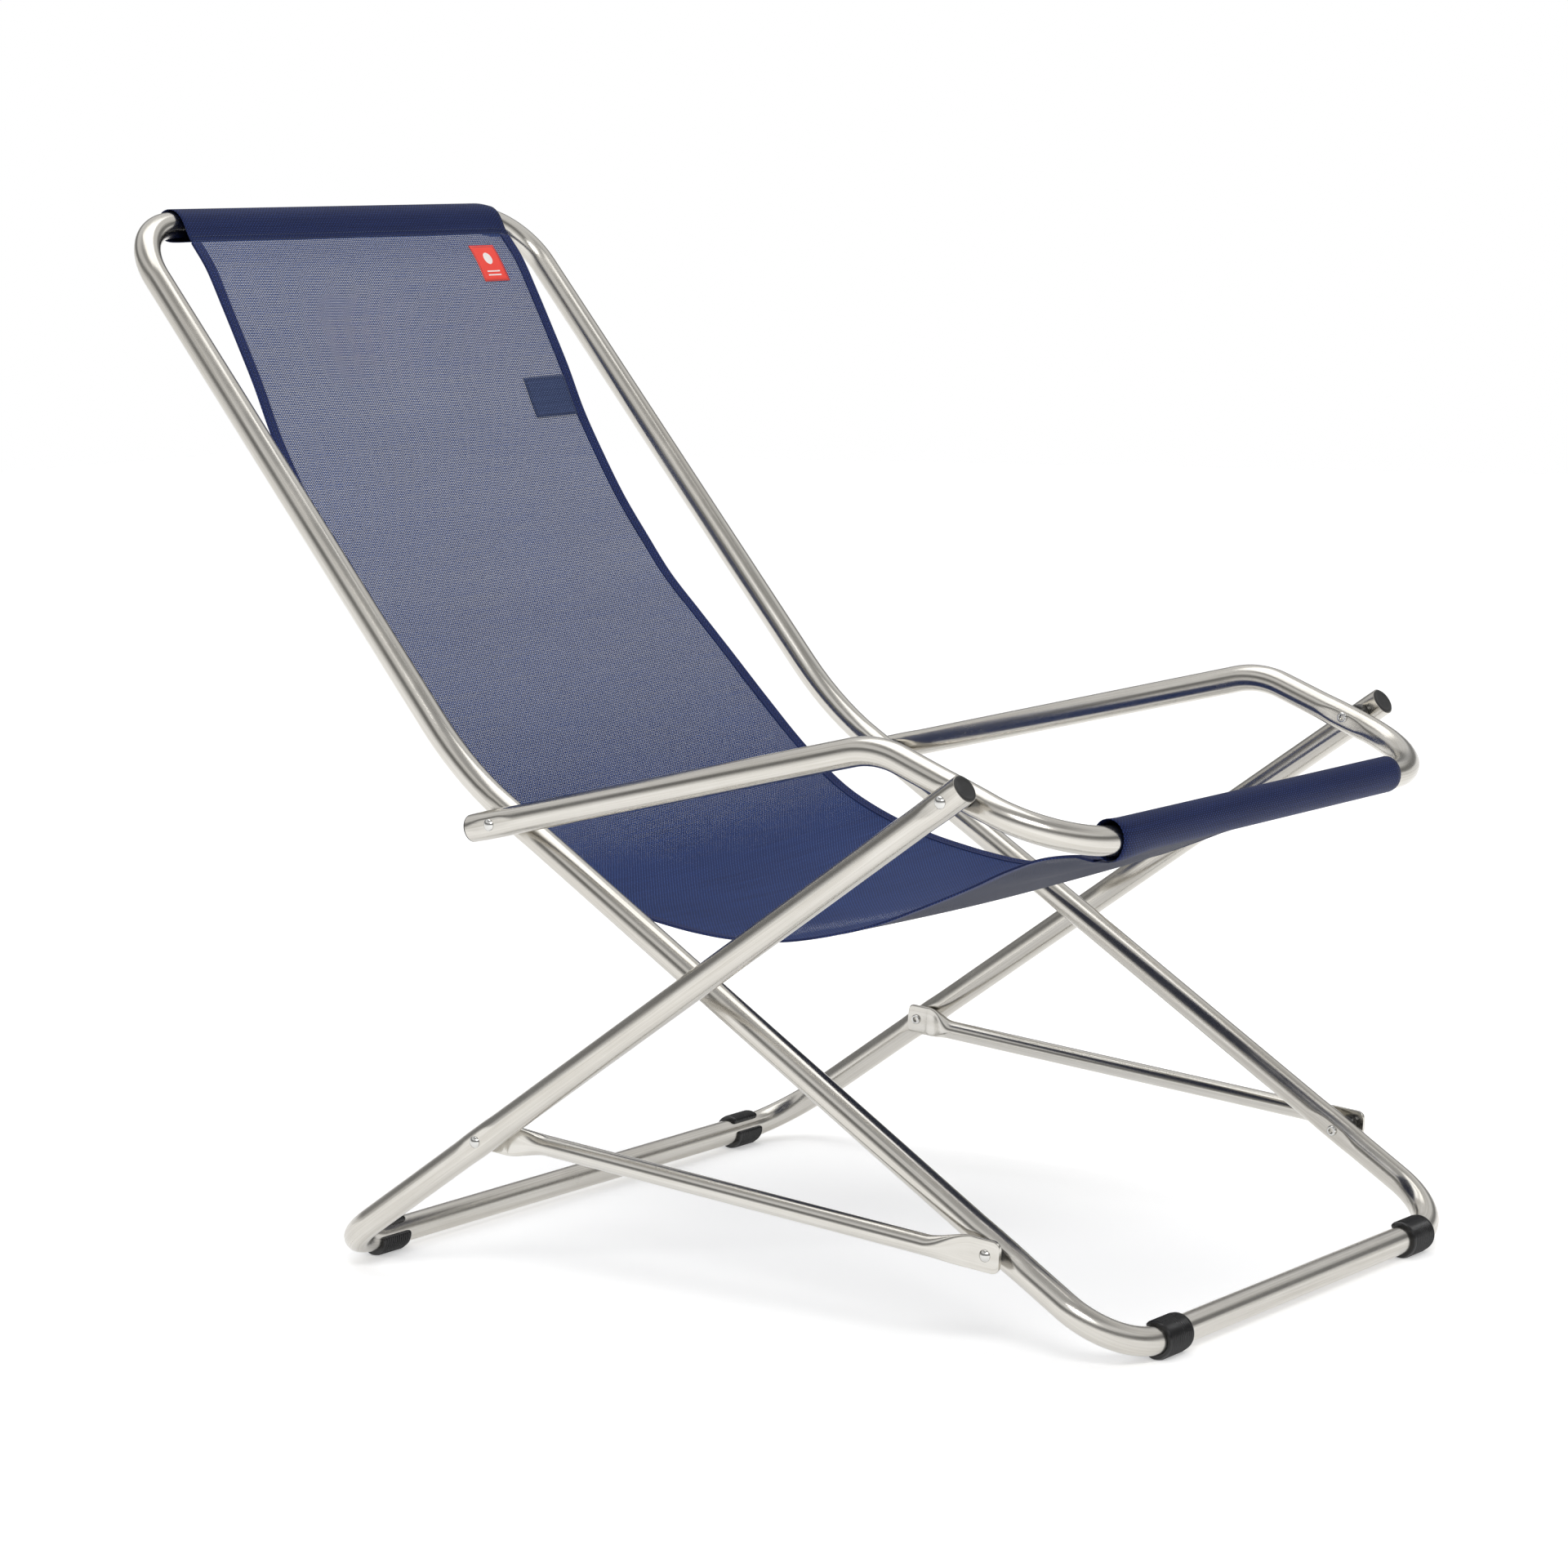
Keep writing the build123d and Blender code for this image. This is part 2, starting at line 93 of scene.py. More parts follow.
def make_mesh(name, verts, faces, uv=None, smooth=True, mat=None):
    me = bpy.data.meshes.new(name)
    me.from_pydata([tuple(v) for v in (np.asarray(verts, float) * MM)], [], [list(map(int, f)) for f in faces])
    me.update()
    if uv is not None:
        lay = me.uv_layers.new(name="UVMap")
        idx = np.zeros(len(me.loops), np.int32)
        me.loops.foreach_get("vertex_index", idx)
        lay.data.foreach_set("uv", np.asarray(uv, np.float32)[idx].ravel())
    if smooth:
        me.polygons.foreach_set("use_smooth", [True] * len(me.polygons))
    ob = bpy.data.objects.new(name, me)
    bpy.context.scene.collection.objects.link(ob)
    if mat:
        me.materials.append(mat)
    return ob


class Builder:
    """Collects rings and patches into one mesh."""

    def __init__(self):
        self.v, self.f, self.uv = [], [], []

    def add(self, verts, uv=None):
        base = len(self.v)
        self.v += [tuple(p) for p in verts]
        self.uv += [tuple(u) for u in uv] if uv is not None else [(p[0] * 0.001, p[2] * 0.001) for p in verts]
        return base

    def rings(self, rings, uvs=None, closed=True, flip=False):
        """Joins successive rings of equal length with quads."""
        n = len(rings[0])
        bases = [self.add(r, None if uvs is None else uvs[i]) for i, r in enumerate(rings)]
        m = n if closed else n - 1
        for a, b in zip(bases[:-1], bases[1:]):
            for j in range(m):
                k = (j + 1) % n
                q = (a + j, a + k, b + k, b + j)
                self.f.append(q[::-1] if flip else q)
        return bases

    def fan(self, ring_base, n, centre, flip=False):
        c = self.add([centre])
        for j in range(n):
            k = (j + 1) % n
            t = (ring_base + j, ring_base + k, c)
            self.f.append(t[::-1] if flip else t)

    def make(self, name, mat=None, smooth=True):
        return make_mesh(name, self.v, self.f, self.uv, smooth, mat)


def weld(ob, dist=1e-5):
    import bmesh
    bm = bmesh.new()
    bm.from_mesh(ob.data)
    bmesh.ops.remove_doubles(bm, verts=bm.verts, dist=dist)
    bmesh.ops.recalc_face_normals(bm, faces=bm.faces)
    bm.to_mesh(ob.data)
    bm.free()
    ob.data.update()


def sharpen(ob, angle=35):
    """Marks edges sharper than the angle, so smooth shading keeps them crisp."""
    import bmesh
    bm = bmesh.new()
    bm.from_mesh(ob.data)
    for e in bm.edges:
        if len(e.link_faces) == 2 and e.calc_face_angle(0) > math.radians(angle):
            e.smooth = False
    bm.to_mesh(ob.data)
    bm.free()


def bevel(ob, width_mm, segments=2, angle=35):
    m = ob.modifiers.new("Bevel", "BEVEL")
    m.width = width_mm * MM
    m.segments = segments
    m.limit_method = "ANGLE"
    m.angle_limit = math.radians(angle)
    m.harden_normals = False
    return m


# --------------------------------------------------------------------------
# tube paths: straight runs and true arcs
# --------------------------------------------------------------------------


def fillet_path(pts, radii, step=9.0, arc_step=math.radians(3.0), dense_at=(), dense=2.0, reach=34.0):
    pts = [np.array(p, float) for p in pts]
    out = [pts[0]]
    segs = []
    last = pts[0]
    for i in range(1, len(pts) - 1):
        a, b, c = pts[i - 1], pts[i], pts[i + 1]
        r = radii[i - 1]
        u = (a - b) / np.linalg.norm(a - b)
        v = (c - b) / np.linalg.norm(c - b)
        th = math.acos(float(np.clip(u @ v, -1, 1)))
        t = r / math.tan(th / 2)
        cen = b + (u + v) / np.linalg.norm(u + v) * r / math.sin(th / 2)
        p0, p1 = b + u * t, b + v * t
        segs.append(("line", last, p0))
        segs.append(("arc", cen, p0, p1))
        last = p1
    segs.append(("line", last, pts[-1]))
    for s in segs:
        if s[0] == "line":
            a, b = s[1], s[2]
            L = np.linalg.norm(b - a)
            if L < 1e-6:
                continue
            d = 0.0
            while d < L:
                p = a + (b - a) * d / L
                near = min((np.linalg.norm(p - np.array(q)) for q in dense_at), default=1e9)
                d += dense if near < reach else step
                d2 = min(d, L)
                out.append(a + (b - a) * d2 / L)
        else:
            cen, p0, p1 = s[1:]
            e0, e1 = p0 - cen, p1 - cen
            r = np.linalg.norm(e0)
            ang = math.acos(float(np.clip(e0 @ e1 / r / r, -1, 1)))
            n = max(4, int(math.ceil(ang / arc_step)))
            for j in range(1, n + 1):
                w = j / n
                out.append(cen + (math.sin((1 - w) * ang) * e0 + math.sin(w * ang) * e1) / math.sin(ang))
    keep = [out[0]]
    for p in out[1:]:
        if np.linalg.norm(p - keep[-1]) > 0.05:
            keep.append(p)
    return np.array(keep)


def frames_along(P, closed=False):
    T = np.gradient(P, axis=0)
    if closed:
        T = np.roll(P, -1, 0) - np.roll(P, 1, 0)
    T /= np.linalg.norm(T, axis=1)[:, None]
    n0 = np.cross(T[0], [0.0, 0.0, 1.0])
    if np.linalg.norm(n0) < 0.1:
        n0 = np.cross(T[0], [0.0, 1.0, 0.0])
    n0 /= np.linalg.norm(n0)
    N = [n0]
    for i in range(1, len(P)):
        n = N[-1] - T[i] * (N[-1] @ T[i])
        N.append(n / np.linalg.norm(n))
    N = np.array(N)
    return T, N, np.cross(T, N)


def soft_cap(x, lim, k=0.55):
    """Smoothly limits |x| to lim."""
    s, a = np.sign(x), np.abs(x)
    d = a - lim
    return s * (lim + np.where(d > 0, k * np.tanh(d / k) * 0.12, d) - 0.0)


def tube(name, P, radius, mat, pivots=(), sides=48, press=1.3, ends="open", closed=False, inner=9.5, ovality=0.0):
    """Round tube along P, lightly pressed flat at each pivot across X."""
    if closed:
        P = P[:-1] if np.linalg.norm(P[0] - P[-1]) < 1e-3 else P
    T, N, B = frames_along(P, closed)
    L = np.concatenate([[0], np.cumsum(np.linalg.norm(np.diff(P, axis=0), axis=1))])
    ang = np.linspace(0, 2 * math.pi, sides, endpoint=False)
    b = Builder()
    rings, uvs = [], []
    for i, p in enumerate(P):
        off = radius * (np.cos(ang)[:, None] * N[i] + np.sin(ang)[:, None] * B[i])
        for q in pivots:
            d = abs((np.array(q) - p) @ T[i])
            lateral = np.linalg.norm((np.array(q) - p) - T[i] * ((np.array(q) - p) @ T[i]))
            if d < 30 and lateral < 4.0:
                w = 0.5 * (1 + math.cos(math.pi * min(1.0, max(0.0, (d - 7.0) / 21.0))))
                lim = radius - press * w
                x = off[:, 0]
                xn = np.where(np.abs(x) > lim, np.sign(x) * (lim + 0.10 * (np.abs(x) - lim)), x)
                off = off.copy()
                rest = off - np.outer(x, [1, 0, 0])
                off = np.outer(xn, [1, 0, 0]) + rest * (1 + 0.035 * w)
        rings.append(p + off)
        uvs.append(np.stack([ang * radius * 0.001, np.full(sides, L[i] * 0.001)], 1))
    # a seam column keeps the texture straight round the tube
    rings = [np.vstack([r, r[:1]]) for r in rings]
    uvs = [np.vstack([u, [[2 * math.pi * radius * 0.001, u[0, 1]]]]) for u in uvs]
    if closed:
        rings.append(rings[0].copy())
        uvs.append(uvs[0] + np.array([[0, 0.0]]))
        uvs[-1][:, 1] = (L[-1] + 5) * 0.001
    b.rings(rings, uvs, closed=False)
    if ends == "open" and not closed:
        for i, sgn in ((0, 1), (len(P) - 1, -1)):
            c, t = P[i], T[i] * sgn
            o = np.cos(ang)[:, None] * N[i] + np.sin(ang)[:, None] * B[i]
            prof = [(radius, 0.0), (radius - 0.35, -0.18), (inner + 0.25, -0.18), (inner, 0.05), (inner, 14.0)]
            rr = [np.vstack([c + t * a + o * r, (c + t * a + o * r)[:1]]) for r, a in prof]
            uu = [np.stack([np.append(ang, 2 * math.pi) * r * 0.001, np.full(sides + 1, 0.001 * a)], 1) for r, a in prof]
            b.rings(rr, uu, closed=False, flip=(sgn > 0))
    ob = b.make(name, mat)
    weld_uv_safe(ob)
    return ob


def weld_uv_safe(ob, dist=2e-6):
    import bmesh
    bm = bmesh.new()
    bm.from_mesh(ob.data)
    bmesh.ops.remove_doubles(bm, verts=bm.verts, dist=dist)
    bmesh.ops.recalc_face_normals(bm, faces=bm.faces)
    bm.to_mesh(ob.data)
    bm.free()
    ob.data.update()


def lathe(name, origin, axis, profile, mat, sides=48, up=(0, 0, 1), smooth_angle=32):
    """Revolves (along, radius) points about an axis."""
    a = np.array(axis, float)
    a /= np.linalg.norm(a)
    n = np.cross(a, up)
    n /= np.linalg.norm(n)
    m = np.cross(a, n)
    o = np.array(origin, float)
    ang = np.linspace(0, 2 * math.pi, sides, endpoint=False)
    b = Builder()
    rings = []
    for s, r in profile:
        rings.append(o + a * s + max(r, 1e-4) * (np.cos(ang)[:, None] * n + np.sin(ang)[:, None] * m))
    b.rings(rings, closed=True)
    ob = b.make(name, mat)
    weld(ob, 1.2e-6)
    sharpen(ob, smooth_angle)
    return ob


def arc_pts(c, r, a0, a1, n):
    return [(c[0] + r * math.cos(math.radians(a0 + (a1 - a0) * i / n)),
             c[1] + r * math.sin(math.radians(a0 + (a1 - a0) * i / n))) for i in range(n + 1)]


# --------------------------------------------------------------------------
# materials
# --------------------------------------------------------------------------


def new_mat(name):
    m = bpy.data.materials.new(name)
    m.use_nodes = True
    nt = m.node_tree
    nt.nodes.clear()
    out = nt.nodes.new("ShaderNodeOutputMaterial")
    bs = nt.nodes.new("ShaderNodeBsdfPrincipled")
    nt.links.new(bs.outputs[0], out.inputs[0])
    return m, nt, bs, out


def node(nt, kind, **kw):
    n = nt.nodes.new(kind)
    for k, v in kw.items():
        if k.startswith("i_"):
            key = k[2:]
            key = int(key) if key.isdigit() else key.replace("_", " ")
            n.inputs[key].default_value = v
        else:
            setattr(n, k, v)
    return n


def mathn(nt, op, a, b=None, clamp=False):
    n = nt.nodes.new("ShaderNodeMath")
    n.operation = op
    n.use_clamp = clamp
    for i, v in enumerate((a, b)):
        if v is None:
            continue
        if isinstance(v, (int, float)):
            n.inputs[i].default_value = v
        else:
            nt.links.new(v, n.inputs[i])
    return n.outputs[0]


def ramp(nt, src, stops):
    n = nt.nodes.new("ShaderNodeValToRGB")
    el = n.color_ramp.elements
    while len(el) < len(stops):
        el.new(0.5)
    for e, (p, c) in zip(el, stops):
        e.position = p
        e.color = (c, c, c, 1) if isinstance(c, (int, float)) else (*c, 1)
    nt.links.new(src, n.inputs[0])
    return n.outputs[0]


def aluminium(name, base=(0.635, 0.616, 0.577), rough=0.20, streak=1.0, scuff=1.0):
    """Drawn, polished tube: streaks run along the tube (V), the colour is faintly warm."""
    m, nt, bs, out = new_mat(name)
    uv = node(nt, "ShaderNodeTexCoord").outputs["UV"]
    mp = node(nt, "ShaderNodeMapping")
    mp.inputs["Scale"].default_value = (900, 9, 1)
    nt.links.new(uv, mp.inputs[0])
    nz = node(nt, "ShaderNodeTexNoise", i_Scale=1.0, i_Detail=3.0, i_Roughness=0.55)
    nt.links.new(mp.outputs[0], nz.inputs["Vector"])
    # slow smudges from handling
    ob = node(nt, "ShaderNodeTexCoord").outputs["Object"]
    sm = node(nt, "ShaderNodeTexNoise", i_Scale=22.0, i_Detail=4.0, i_Roughness=0.6)
    nt.links.new(ob, sm.inputs["Vector"])
    # small scattered nicks
    mp2 = node(nt, "ShaderNodeMapping")
    mp2.inputs["Scale"].default_value = (260, 90, 1)
    nt.links.new(uv, mp2.inputs[0])
    vo = node(nt, "ShaderNodeTexVoronoi", i_Scale=1.0, i_Randomness=1.0)
    vo.feature = "F1"
    nt.links.new(mp2.outputs[0], vo.inputs["Vector"])
    nick = ramp(nt, vo.outputs["Distance"], [(0.0, 1.0), (0.035, 0.0)])
    gate = node(nt, "ShaderNodeTexNoise", i_Scale=11.0, i_Detail=2.0)
    nt.links.new(ob, gate.inputs["Vector"])
    gate_r = ramp(nt, gate.outputs["Fac"], [(0.56, 0.0), (0.66, 1.0)])
    nick = mathn(nt, "MULTIPLY", nick, gate_r)
    r = mathn(nt, "MULTIPLY_ADD", nz.outputs["Fac"], 0.10 * streak)
    nt.nodes[-1].inputs[2].default_value = rough - 0.05 * streak
    r = mathn(nt, "ADD", r, mathn(nt, "MULTIPLY", ramp(nt, sm.outputs["Fac"], [(0.42, 0.0), (0.72, 1.0)]), 0.07 * scuff))
    r = mathn(nt, "ADD", r, mathn(nt, "MULTIPLY", nick, 0.18), clamp=True)
    nt.links.new(r, bs.inputs["Roughness"])
    mix = node(nt, "ShaderNodeMix", data_type="RGBA")
    mix.inputs[6].default_value = (*base, 1)
    mix.inputs[7].default_value = (base[0] * 0.78, base[1] * 0.765, base[2] * 0.735, 1)
    # fine drawing lines and broad dull bands along the tube
    mp3 = node(nt, "ShaderNodeMapping")
    mp3.inputs["Scale"].default_value = (105, 2.6, 1)
    nt.links.new(uv, mp3.inputs[0])
    bd = node(nt, "ShaderNodeTexNoise", i_Scale=1.0, i_Detail=3.0, i_Roughness=0.6)
    nt.links.new(mp3.outputs[0], bd.inputs["Vector"])
    dull = mathn(nt, "MULTIPLY", ramp(nt, bd.outputs["Fac"], [(0.44, 0.0), (0.62, 1.0)]), 0.42)
    fine = mathn(nt, "MULTIPLY", ramp(nt, nz.outputs["Fac"], [(0.42, 0.0), (0.66, 1.0)]), 0.40 * streak)
    tone = mathn(nt, "ADD", mathn(nt, "ADD", dull, fine), mathn(nt, "MULTIPLY", sm.outputs["Fac"], 0.35), clamp=True)
    nt.links.new(tone, mix.inputs[0])
    nt.links.new(mix.outputs[2], bs.inputs["Base Color"])
    bs.inputs["Metallic"].default_value = 1.0
    bp = node(nt, "ShaderNodeBump", i_Strength=0.025 * streak, i_Distance=0.0003)
    nt.links.new(nz.outputs["Fac"], bp.inputs["Height"])
    bp2 = node(nt, "ShaderNodeBump", i_Strength=0.12 * scuff, i_Distance=0.0003)
    nt.links.new(nick, bp2.inputs["Height"])
    nt.links.new(bp.outputs[0], bp2.inputs["Normal"])
    nt.links.new(bp2.outputs[0], bs.inputs["Normal"])
    return m


def plastic(name, base=(0.009, 0.009, 0.0095), rough=0.24):
    m, nt, bs, out = new_mat(name)
    ob = node(nt, "ShaderNodeTexCoord").outputs["Object"]
    nz = node(nt, "ShaderNodeTexNoise", i_Scale=900.0, i_Detail=3.0)
    nt.links.new(ob, nz.inputs["Vector"])
    n2 = node(nt, "ShaderNodeTexNoise", i_Scale=60.0, i_Detail=3.0)
    nt.links.new(ob, n2.inputs["Vector"])
    nt.links.new(mathn(nt, "ADD", mathn(nt, "MULTIPLY", n2.outputs["Fac"], 0.22), rough - 0.09), bs.inputs["Roughness"])
    mix = node(nt, "ShaderNodeMix", data_type="RGBA")
    mix.inputs[6].default_value = (*base, 1)
    mix.inputs[7].default_value = (base[0] * 2.6, base[1] * 2.6, base[2] * 2.6, 1)
    nt.links.new(ramp(nt, n2.outputs["Fac"], [(0.5, 0.0), (0.8, 1.0)]), mix.inputs[0])
    nt.links.new(mix.outputs[2], bs.inputs["Base Color"])
    bp = node(nt, "ShaderNodeBump", i_Strength=0.18, i_Distance=0.0002)
    nt.links.new(nz.outputs["Fac"], bp.inputs["Height"])
    nt.links.new(bp.outputs[0], bs.inputs["Normal"])
    bs.inputs["Specular IOR Level"].default_value = 0.5
    return m


def mesh_cloth(name, pitch=(1.75, 1.53), hole=0.572, see_through=None, dark=(0.0055, 0.0115, 0.056), light=(0.088, 0.190, 0.610), phase=(0.0, 0.0),
               crown=0.72):
    """Coated-yarn plain weave. U and V are metres on the flat cloth. The cells
    between the yarns are open where V lies between the two see_through values."""
    m, nt, bs, out = new_mat(name)
    uv = node(nt, "ShaderNodeTexCoord").outputs["UV"]
    sx = node(nt, "ShaderNodeSeparateXYZ")
    nt.links.new(uv, sx.inputs[0])
    wob = node(nt, "ShaderNodeTexNoise", i_Scale=14.0, i_Detail=2.0)
    nt.links.new(uv, wob.inputs["Vector"])
    sway = mathn(nt, "MULTIPLY", mathn(nt, "SUBTRACT", wob.outputs["Fac"], 0.5), 1.0)
    u = mathn(nt, "ADD", mathn(nt, "ADD", mathn(nt, "MULTIPLY", sx.outputs[0], 1000.0 / pitch[0]), 500.0 + phase[0]), sway)
    v = mathn(nt, "ADD", mathn(nt, "ADD", mathn(nt, "MULTIPLY", sx.outputs[1], 1000.0 / pitch[1]), 10.0 + phase[1]), sway)
    fu, fv = mathn(nt, "FRACT", u), mathn(nt, "FRACT", v)
    # distance from the yarn's middle, 0 at the crown and 1 in the middle of a cell
    du = mathn(nt, "MULTIPLY", mathn(nt, "ABSOLUTE", mathn(nt, "SUBTRACT", fu, 0.5)), 2.0)
    dv = mathn(nt, "MULTIPLY", mathn(nt, "ABSOLUTE", mathn(nt, "SUBTRACT", fv, 0.5)), 2.0)
    yarn_u = mathn(nt, "SUBTRACT", 1.0, mathn(nt, "POWER", mathn(nt, "DIVIDE", du, 0.78), 2.0), clamp=True)
    yarn_v = mathn(nt, "SUBTRACT", 1.0, mathn(nt, "POWER", mathn(nt, "DIVIDE", dv, 0.78), 2.0), clamp=True)
    # over and under
    par = mathn(nt, "ABSOLUTE", mathn(nt, "MODULO", mathn(nt, "ADD", mathn(nt, "FLOOR", u), mathn(nt, "FLOOR", v)), 2.0))
    along_v = mathn(nt, "SUBTRACT", 1.0, mathn(nt, "POWER", dv, 2.0))
    along_u = mathn(nt, "SUBTRACT", 1.0, mathn(nt, "POWER", du, 2.0))
    hu = mathn(nt, "MULTIPLY", yarn_u, mathn(nt, "ADD", 0.45, mathn(nt, "MULTIPLY", mathn(nt, "MULTIPLY", par, along_v), 0.55)))
    inv = mathn(nt, "SUBTRACT", 1.0, par)
    hv = mathn(nt, "MULTIPLY", yarn_v, mathn(nt, "ADD", 0.45, mathn(nt, "MULTIPLY", mathn(nt, "MULTIPLY", inv, along_u), 0.55)))
    height = mathn(nt, "MAXIMUM", hu, hv)
    bp = node(nt, "ShaderNodeBump", i_Strength=0.6, i_Distance=0.00028)
    nt.links.new(height, bp.inputs["Height"])
    nt.links.new(bp.outputs[0], bs.inputs["Normal"])
    ob = node(nt, "ShaderNodeTexNoise", i_Scale=7.0, i_Detail=4.0)
    nt.links.new(uv, ob.inputs["Vector"])
    mix = node(nt, "ShaderNodeMix", data_type="RGBA")
    mix.inputs[6].default_value = (*dark, 1)
    mix.inputs[7].default_value = (*light, 1)
    # painted highlight and shade: the lengthwise yarns are painted lighter where they catch the light, the cross yarns
    # lie lower and are painted darker
    top = ramp(nt, mathn(nt, "MAXIMUM", hu, mathn(nt, "MULTIPLY", hv, 0.74)), [(0.0, 0.0), (crown, 0.16), (1.0, 1.0)])
    # yarn to yarn differences show as faint lines across the cloth
    lm = node(nt, "ShaderNodeMapping")
    lm.inputs["Scale"].default_value = (9.0, 420.0, 1.0)
    nt.links.new(uv, lm.inputs[0])
    ln = node(nt, "ShaderNodeTexNoise", i_Scale=1.0, i_Detail=2.0)
    nt.links.new(lm.outputs[0], ln.inputs["Vector"])
    lines = mathn(nt, "SUBTRACT", ln.outputs["Fac"], 0.5)
    shade = mathn(nt, "MULTIPLY", top, mathn(nt, "ADD", 0.62, mathn(nt, "MULTIPLY", ob.outputs["Fac"], 0.55)), clamp=True)
    shade = mathn(nt, "ADD", shade, mathn(nt, "MULTIPLY", lines, 0.16), clamp=True)
    nt.links.new(shade, mix.inputs[0])
    colour = mix.outputs[2]
    if see_through:
        # painted shade: outside the single-layer run, in the loops round both bars, the cloth colour is multiplied
        # darker
        single = mathn(nt, "MULTIPLY", mathn(nt, "GREATER_THAN", sx.outputs[1], see_through[0]), mathn(nt, "LESS_THAN", sx.outputs[1], see_through[1]))
        loop_painted_shade = node(nt, "ShaderNodeMix", data_type="RGBA", blend_type="MULTIPLY")
        loop_painted_shade.inputs[0].default_value = 1.0
        nt.links.new(colour, loop_painted_shade.inputs[6])
        loop_painted_shade.inputs[7].default_value = (0.44, 0.42, 0.50, 1)
        pick = node(nt, "ShaderNodeMix", data_type="RGBA")
        nt.links.new(single, pick.inputs[0])
        nt.links.new(loop_painted_shade.outputs[2], pick.inputs[6])
        nt.links.new(colour, pick.inputs[7])
        colour = pick.outputs[2]
    nt.links.new(colour, bs.inputs["Base Color"])
    bs.inputs["Roughness"].default_value = 0.55
    bs.inputs["Specular IOR Level"].default_value = 0.14
    bs.inputs["Sheen Weight"].default_value = 0.02
    bs.inputs["Sheen Roughness"].default_value = 0.5
    bs.inputs["Sheen Tint"].default_value = (0.6, 0.65, 0.95, 1)
    if see_through:
        # the weave is drawn tight in the seat, where the load is, and stays open in the back
        fade = node(nt, "ShaderNodeMapRange")
        fade.interpolation_type = "SMOOTHSTEP"
        fade.inputs["From Min"].default_value = see_through[0] + 0.36
        fade.inputs["From Max"].default_value = see_through[0] + 0.84
        fade.inputs["To Min"].default_value = 1.0 - hole
        fade.inputs["To Max"].default_value = 1.0 - hole * 0.46
        nt.links.new(sx.outputs[1], fade.inputs["Value"])
        limit = mathn(nt, "ADD", fade.outputs[0], mathn(nt, "MULTIPLY", lines, 0.20))
        open_u = mathn(nt, "GREATER_THAN", du, fade.outputs[0])
        open_v = mathn(nt, "GREATER_THAN", dv, limit)
        cell = mathn(nt, "MULTIPLY", open_u, open_v)
        within = mathn(nt, "MULTIPLY", mathn(nt, "GREATER_THAN", sx.outputs[1], see_through[0]), mathn(nt, "LESS_THAN", sx.outputs[1], see_through[1]))
        cell = mathn(nt, "MULTIPLY", cell, within)
        tr = node(nt, "ShaderNodeBsdfTransparent")
        ms = node(nt, "ShaderNodeMixShader")
        nt.links.new(cell, ms.inputs[0])
        nt.links.new(bs.outputs[0], ms.inputs[1])
        nt.links.new(tr.outputs[0], ms.inputs[2])
        nt.links.new(ms.outputs[0], out.inputs[0])
    return m


def thread_mat(name, col=(0.035, 0.045, 0.13)):
    m, nt, bs, out = new_mat(name)
    ob = node(nt, "ShaderNodeTexCoord").outputs["Object"]
    nz = node(nt, "ShaderNodeTexNoise", i_Scale=1500.0, i_Detail=2.0)
    nt.links.new(ob, nz.inputs["Vector"])
    mix = node(nt, "ShaderNodeMix", data_type="RGBA")
    mix.inputs[6].default_value = (*col, 1)
    mix.inputs[7].default_value = (col[0] * 2.2, col[1] * 2.2, col[2] * 1.9, 1)
    nt.links.new(nz.outputs["Fac"], mix.inputs[0])
    nt.links.new(mix.outputs[2], bs.inputs["Base Color"])
    bs.inputs["Roughness"].default_value = 0.5
    return m


def label_mat(name):
    """Woven red label with a pale disc and two plain pale bars."""
    m, nt, bs, out = new_mat(name)
    uv = node(nt, "ShaderNodeTexCoord").outputs["UV"]
    sx = node(nt, "ShaderNodeSeparateXYZ")
    nt.links.new(uv, sx.inputs[0])
    u, v = sx.outputs[0], sx.outputs[1]
    wv = node(nt, "ShaderNodeTexWave", i_Scale=62.0, i_Distortion=0.0)
    wv.bands_direction = "Y"
    nt.links.new(uv, wv.inputs["Vector"])
    cu = mathn(nt, "ABSOLUTE", mathn(nt, "SUBTRACT", u, 0.5))

    def bar(lo, hi, half):
        a = mathn(nt, "MULTIPLY", mathn(nt, "GREATER_THAN", v, lo), mathn(nt, "LESS_THAN", v, hi))
        return mathn(nt, "MULTIPLY", a, mathn(nt, "LESS_THAN", cu, half))

    # a plain disc over two plain bars
    dv = mathn(nt, "SUBTRACT", v, 0.62)
    d2 = mathn(nt, "ADD", mathn(nt, "MULTIPLY", cu, cu), mathn(nt, "MULTIPLY", dv, dv))
    disc = mathn(nt, "LESS_THAN", d2, 0.0256)
    marks = mathn(nt, "MAXIMUM", disc, mathn(nt, "MAXIMUM", bar(0.25, 0.285, 0.26), bar(0.15, 0.185, 0.26)))
    mix = node(nt, "ShaderNodeMix", data_type="RGBA")
    mix.inputs[6].default_value = (0.86, 0.055, 0.035, 1)
    mix.inputs[7].default_value = (0.86, 0.80, 0.78, 1)
    nt.links.new(marks, mix.inputs[0])
    # painted shade: the colour is darkened where the weave's wave is low, in the grooves between the woven ribs
    dark = node(nt, "ShaderNodeMix", data_type="RGBA", blend_type="MULTIPLY")
    dark.inputs[0].default_value = 0.35
    nt.links.new(mix.outputs[2], dark.inputs[6])
    nt.links.new(ramp(nt, wv.outputs["Fac"], [(0.0, 0.72), (1.0, 1.0)]), dark.inputs[7])
    nt.links.new(dark.outputs[2], bs.inputs["Base Color"])
    bs.inputs["Roughness"].default_value = 0.55
    bp = node(nt, "ShaderNodeBump", i_Strength=0.3, i_Distance=0.0002)
    nt.links.new(wv.outputs["Fac"], bp.inputs["Height"])
    nt.links.new(bp.outputs[0], bs.inputs["Normal"])
    return m


